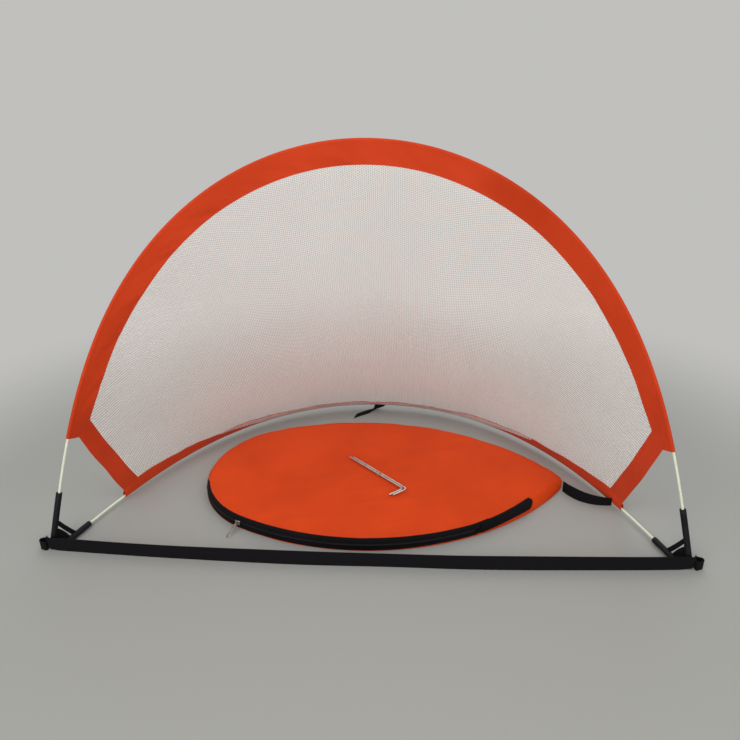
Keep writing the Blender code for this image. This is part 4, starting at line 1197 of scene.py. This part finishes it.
def rimAt(turn):        # the rim's outward angle, where the bag's middle sees it this way
    turn = (turn - rimTurn[0]) % (2 * math.pi) + rimTurn[0]
    return float(np.interp(turn, rimTurn, rimDegrees))


count = bag["topSide"]
topGrid = np.zeros((count, count, 3))
for i, a in enumerate(np.linspace(-1.0, 1.0, count)):
    for j, b in enumerate(np.linspace(-1.0, 1.0, count)):
        u, v = a * math.sqrt(1 - b * b / 2), b * math.sqrt(1 - a * a / 2)
        reach = min(math.hypot(u, v), 1.0)
        turn = math.atan2(v, u) if reach > 0 else 0.0
        degrees = rimAt(turn)
        lip = bagLips(degrees)[1]
        rim = bagPoint(degrees, *lip)
        reach = 1 - (1 - reach) ** 1.35
        plan = bagMiddle + (rim[:2] - bagMiddle) * reach
        fromLip = (1 - reach) * float(np.linalg.norm(rim[:2] - bagMiddle))
        gather = wave(degrees * 0.45, 3.1, 0.7)
        far = easing(degrees, -46.0, -20.0) * (1 - easing(degrees, 20.0, 60.0))
        soft = bag["soft"] + (bag["softEnd"] - bag["soft"]) * far
        topGrid[i, j] = (*plan, topHeight(plan[0], plan[1], fromLip, lip[1], gather, soft))
bagTop = clothGrid("bagTop", topGrid, topGrid[:, :, :2])
thicken(bagTop, bag["panel"])
settle(bagTop, bagCloth, "bag", "bag_top_panel")

sides = np.linspace(-180.0, 180.0, bag["bottomSides"] + 1)
bottomGrid = []
for d in sides:
    inset, height = bagLips(d)[0]
    belly = 0.0002 + 0.0003 * wave(d * 0.21, 1.3, 4.4)
    row = [bagPoint(d, inset, height), bagPoint(d, inset * 0.6 + belly, height * 0.75),
           bagPoint(d, inset * 0.3 + 0.0002 + belly, height * 0.5),
           bagPoint(d, inset * 0.2 + 0.0006, height * 0.3 + 0.0002)]
    row += [bagPoint(d, *step) for step in ((0.0022, 0.0006), (0.0060, 0.0004), (0.02, 0.0004))]
    rim = row[-1]
    row += [np.array([*(rim[:2] + (bagMiddle - rim[:2]) * t), 0.0004])
            for t in (0.2, 0.4, 0.6, 0.8, 1.0)]
    bottomGrid.append(row)
bottomGrid = np.array(bottomGrid)
bagBottom = clothGrid("bagBottom", bottomGrid, bottomGrid[:, :, :2])
mergeClose(bagBottom)
thicken(bagBottom, bag["panel"])
settle(bagBottom, bagCloth, "bag", "bag_bottom_panel")


rope = [bagPoint(d, 0.0002, bag["seamHigh"] + 0.0002) for d in np.linspace(-8.0, 182.0, 260)]
piping = rodCurve("bagPiping", rope, 0.0011, 3)        # corded seam round the back
settle(piping, bagCloth, "bag")

zipLook = {
    "tape": 0.0009, "toothPitch": 0.00165, "toothLong": 0.0026, "toothDeep": 0.0017,
    "proud": 0.0011, "apart": 0.0007,
    "tailStart": 1.5, "tailReach": 1.5, "tailPeak": 0.72, "tailCutLow": 2.3, "tailCutHigh": 2.0,
    "tailProud": 0.0027, "tailRise": 0.0006, "tailSeamProud": 0.0034,
    "tailThick": 0.0012, "tailEdge": 0.0003,
}


def bandPoint(degrees, share, proud=0.0):        # share is 0 at the lower lip, 1 at the upper
    low, high = openLips(min(degrees, bag["zipEnd"]))
    across = clamp(share)
    inset = low[0] + (high[0] - low[0]) * across ** bag["bandBulge"] + abs(share - across) * 0.03
    height = low[1] + (high[1] - low[1]) * across - max(share - across, 0.0) * 0.006
    point = bagPoint(degrees, inset, height)
    if proud:
        out = bagEdge(math.radians(wrapped(degrees)))[1]
        slope = (high[0] - low[0]) * bag["bandBulge"] * across ** (bag["bandBulge"] - 1)
        tilt = math.atan2(slope, high[1] - low[1])
        point = point + np.array([*(out * math.cos(tilt)), math.sin(tilt)]) * proud
    return point


zipRange = (bag["zipStart"] - 6.0, bag["zipTurn"] + 4.0)
for name, node, low, high in (("zipTapeLower", "zip_tape_lower", -0.06, 0.5),
                              ("zipTapeUpper", "zip_tape_upper", 0.5, 1.06)):
    gap = 0.035 if low < 0 else -0.035
    shares = np.linspace(low - (0 if low < 0 else gap), high - (gap if low < 0 else 0), 9)
    grid = [[bandPoint(d, t, 0.0006 + 0.0002 * wave(d * 0.8, t * 3, 6.1)) for t in shares]
            for d in np.linspace(*zipRange, 320)]
    tape = clothGrid(name, grid, flatSpread(grid))
    thicken(tape, zipLook["tape"], 0.0002)
    settle(tape, zipTapeCloth, "bag", node)
    sewn = np.linspace(*zipRange, 300)
    path = [bandPoint(d, 0.10 if low < 0 else 0.90, zipLook["proud"]) for d in sewn]
    outward = [unit(np.array([*(bagEdge(math.radians(d))[1]), 0.25])) for d in sewn]
    seam = stitchRow(name + "Seam", path, outward, {**blackStitch, "thread": 0.0004})
    settle(seam, blackThread, "bag")
    sheetSize(grid)


def layTeeth(name, first, last):        # teeth from above and below in turn, along the middle
    bpy.ops.object.select_all(action="DESELECT")
    bpy.ops.mesh.primitive_cube_add(size=1.0)
    tooth = newest("oneTooth")
    bevel = tooth.modifiers.new("round", "BEVEL")
    bevel.width, bevel.segments = 0.22, 1
    applyAll(tooth)
    shape, faces = takeShape(tooth, [zipLook["toothPitch"] * 0.62, zipLook["toothDeep"],
                                     zipLook["toothLong"]])
    angles = np.linspace(first, last, 700)
    path, lower = (np.array([bandPoint(d, share, zipLook["proud"]) for d in angles])
                   for share in (0.5, 0.3))
    run = runOf(path)
    count = int(run[-1] / zipLook["toothPitch"]) * 2
    places = []
    for k in range(count):
        s = (k + 0.5) * run[-1] / count
        here, ahead = pointAt(path, run, s), pointAt(path, run, s + 0.001)
        up, way = unit(here - pointAt(lower, run, s)), unit(ahead - here)
        middle = here + up * (zipLook["apart"] if k % 2 else -zipLook["apart"])
        places.append((middle, way, np.cross(way, up), up))
    return layCopies(name, shape, faces, places, 35.0)


teeth = layTeeth("zipTeeth", bag["zipStart"] + 2.2, bag["zipTurn"])
settle(teeth, coilNylon, "bag", "zip_chain")


# the last of the zip is folded over onto the top and sewn down square
def tailPoint(run, share, proud):        # the tip is cut slanting, its lower corner furthest back
    past = share - zipLook["tailPeak"]
    cut = zipLook["tailCutHigh"] * past if past > 0 else -zipLook["tailCutLow"] * past
    start = bag["zipTurn"] + zipLook["tailStart"]
    tip = bag["zipEnd"] + zipLook["tailReach"] - cut
    return bandPoint(start + (tip - start) * run, share, proud + zipLook["tailRise"] * run)


tailGrid = [[tailPoint(run, t, zipLook["tailProud"]) for t in np.linspace(0.02, 0.98, 15)]
            for run in np.linspace(0.0, 1.0, 44)]
zipTail = clothGrid("zipTail", tailGrid, flatSpread(tailGrid))
thicken(zipTail, zipLook["tailThick"], zipLook["tailEdge"])
settle(zipTail, zipTapeCloth, "bag", "zip_tail")
for name, steps in (("zipTailSeamLow", [(run, 0.14) for run in np.linspace(0.1, 0.94, 40)]),
                    ("zipTailSeamHigh", [(run, 0.86) for run in np.linspace(0.1, 0.94, 40)]),
                    ("zipTailSeamEnd", [(0.94, t) for t in np.linspace(0.14, 0.86, 20)])):
    path = [tailPoint(*step, zipLook["tailSeamProud"]) for step in steps]
    seam = stitchRow(name, path, [(0.3, -0.5, 0.8)] * len(path), blackStitch)
    settle(seam, blackThread, "bag")
sheetSize(tailGrid)

topSeam = stitchRow("bagTopSeam",
                    [bagPoint(d, bagLips(d)[1][0] + 0.0035, bagLips(d)[1][1] + 0.0016)
                     for d in np.linspace(-165.0, -66.0, 500)],
                    [(0.0, -0.4, 0.9)] * 500, seamStitch)
settle(topSeam, orangeThread, "bag")
print("bag done")


# slider, puller and peg tie: the imported shapes with their edges softened; the pegs are drawn
# again as bent rods
def softened(name, node, width, material, angle=30.0, segments=2):
    source = frame["nodes"][node]
    piece = source.copy()
    piece.data = source.data.copy()
    for key in list(piece.keys()):
        del piece[key]
    piece.parent = None
    piece.matrix_world = Matrix.Identity(4)
    piece.name = name
    bpy.context.scene.collection.objects.link(piece)
    piece.hide_render = piece.hide_viewport = False
    if "custom_normal" in piece.data.attributes:
        piece.data.attributes.remove(piece.data.attributes["custom_normal"])
    editAll(piece, lambda: bpy.ops.mesh.remove_doubles(threshold=0.00001),
            lambda: bpy.ops.mesh.dissolve_limited(angle_limit=math.radians(1.0)))
    if width:
        soft = piece.modifiers.new("soft", "BEVEL")
        soft.width, soft.segments, soft.limit_method = width, segments, "ANGLE"
        soft.angle_limit = math.radians(angle)
        applyAll(piece)
    smooth(piece, 35.0)
    settle(piece, material, source["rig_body"], node)


softened("zipSlider", "zip_slider", 0.0003, brightChrome)
softened("zipPuller", "zip_puller", 0.0003, brightChrome)

pegs = {
    "radius": 0.0018, "long": 0.165, "hook": 0.036, "hookTurn": 82.0, "bend": 0.006,
    "corner": (0.079, 0.206, 0.0291), "heading": 136.5, "spacing": 0.0052,
}


def pegPath(nest):
    heading, hooked = (math.radians(pegs["heading"] + k) for k in (0.0, pegs["hookTurn"]))
    leg = np.array([math.cos(heading), math.sin(heading), 0.0])
    hook = np.array([math.cos(hooked), math.sin(hooked), 0.0])
    half = math.radians(pegs["hookTurn"]) / 2
    corner = np.array(pegs["corner"]) + (leg + hook) * nest * pegs["spacing"] / math.sin(2 * half)
    trim = pegs["bend"] / math.tan(half)
    centre = corner + unit(leg + hook) * pegs["bend"] / math.sin(half)
    a, b = corner + leg * trim - centre, corner + hook * trim - centre
    sweep = math.acos(float(unit(a) @ unit(b)))
    path = [corner + leg * (pegs["long"] + r) for r in (0.0030, 0.0022)]
    path += [corner + leg * (pegs["long"] * k) for k in (1.0, 0.75, 0.5, 0.3)]
    path += [centre + (a * math.sin(sweep * (1 - k / 14)) + b * math.sin(sweep * k / 14))
             / math.sin(sweep) for k in range(15)]
    return path + [corner + hook * (pegs["hook"] * k) for k in (0.4, 0.7, 0.97, 1.0)]


for name, node, nest in (("pegOuter", "peg_2", 0), ("pegInner", "peg_1", 1)):
    path = pegPath(nest)
    sizes = [0.12, 0.5] + [1.0] * (len(path) - 3) + [0.82]
    peg = rodCurve(name, path, pegs["radius"], 6, sizes, 40.0)
    settle(peg, pegSteel, "pegs", node)

softened("pegTie", "peg_tie", 0.00012, rubberBand, 50.0, 1)
for node, material, slotName in (("zip_ring", brightChrome, "chrome"),
                                 ("zip_stop", brightChrome, "chrome")):
    frame["nodes"][node].data.materials.clear()
    frame["nodes"][node].data.materials.append(material)
print("zip slider and pegs done")


# floor, lamps and world
studio = {
    "floor": (0.30, 0.30, 0.28), "backdrop": (0.53, 0.525, 0.51), "fade": (0.80, 1.45),
    "light": (0.93, 0.94, 0.96), "level": 0.60,
    "lamps": (("keyLamp", (-1.3, -1.6, 2.7), 2.2, 38.0),        # name, place, size, watts
              ("fillLamp", (1.9, -0.9, 2.0), 2.0, 18.0),
              ("frontLamp", (-0.3, -2.5, 0.9), 1.7, 34.0),
              ("backLamp", (0.2, 2.2, 2.6), 2.4, 26.0)),
}


def seenDirectly(tree):        # 1 for the camera, for mirrors and through clear things
    rays = addNode(tree, "ShaderNodeLightPath")
    either = doMath(tree, "MAXIMUM", rays.outputs["Is Camera Ray"], rays.outputs["Is Glossy Ray"])
    return doMath(tree, "MAXIMUM", either, rays.outputs["Is Transmission Ray"])


def mixShaders(tree, factor, first, second, output):
    mixed = addNode(tree, "ShaderNodeMixShader")
    tree.links.new(factor, mixed.inputs[0])
    tree.links.new(first, mixed.inputs[1])
    tree.links.new(second, mixed.inputs[2])
    tree.links.new(mixed.outputs[0], output)


def addFloor():        # pale floor that runs out into the same tone as the room behind
    bpy.ops.object.select_all(action="DESELECT")
    bpy.ops.mesh.primitive_plane_add(size=60.0, location=(0.0, 0.0, -0.0003))
    floor = newest("paleFloor")
    bpy.ops.object.transform_apply(location=True)
    material, tree, shader = newMaterial("paleFloor", base=studio["floor"], roughness=0.55,
                                         specular=0.3)
    length = addNode(tree, "ShaderNodeVectorMath", operation="LENGTH")
    tree.links.new(inPlace(tree), length.inputs[0])
    spread = addNode(tree, "ShaderNodeMapRange", interpolation_type="SMOOTHSTEP")
    spread.inputs["From Min"].default_value = studio["fade"][0]
    spread.inputs["From Max"].default_value = studio["fade"][1]
    tree.links.new(length.outputs["Value"], spread.inputs["Value"])
    far = doMath(tree, "MULTIPLY", spread.outputs["Result"], seenDirectly(tree))
    glow = addNode(tree, "ShaderNodeEmission")
    glow.inputs["Color"].default_value = (*studio["backdrop"], 1.0)
    mixShaders(tree, far, shader.outputs[0], glow.outputs[0],
               tree.nodes["Material Output"].inputs["Surface"])
    floor.data.materials.append(material)
    floor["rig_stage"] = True


def addLamps():
    for name, place, size, power in studio["lamps"]:
        bpy.ops.object.light_add(type="AREA", location=place)
        lamp = newest(name)
        lamp.data.energy, lamp.data.size = power, size
        lamp.visible_camera = False
        toward = Vector((0.0, 0.25, 0.15)) - Vector(place)
        lamp.rotation_euler = toward.to_track_quat("-Z", "Y").to_euler()


def addWorld():
    world = bpy.data.worlds.new("paleRoom")
    bpy.context.scene.world = world
    world.use_nodes = True
    tree = world.node_tree
    light, room = tree.nodes["Background"], addNode(tree, "ShaderNodeBackground")
    light.inputs["Color"].default_value = (*studio["light"], 1.0)
    light.inputs["Strength"].default_value = studio["level"]
    room.inputs["Color"].default_value = (*studio["backdrop"], 1.0)
    mixShaders(tree, seenDirectly(tree), light.outputs[0], room.outputs[0],
               tree.nodes["World Output"].inputs["Surface"])


addFloor()
addLamps()
addWorld()
bpy.context.scene.view_settings.view_transform = "Standard"
print("studio ready")

sizes = {"cad": [list(v) for v in cadBox], "visual": [list(v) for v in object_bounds()]}
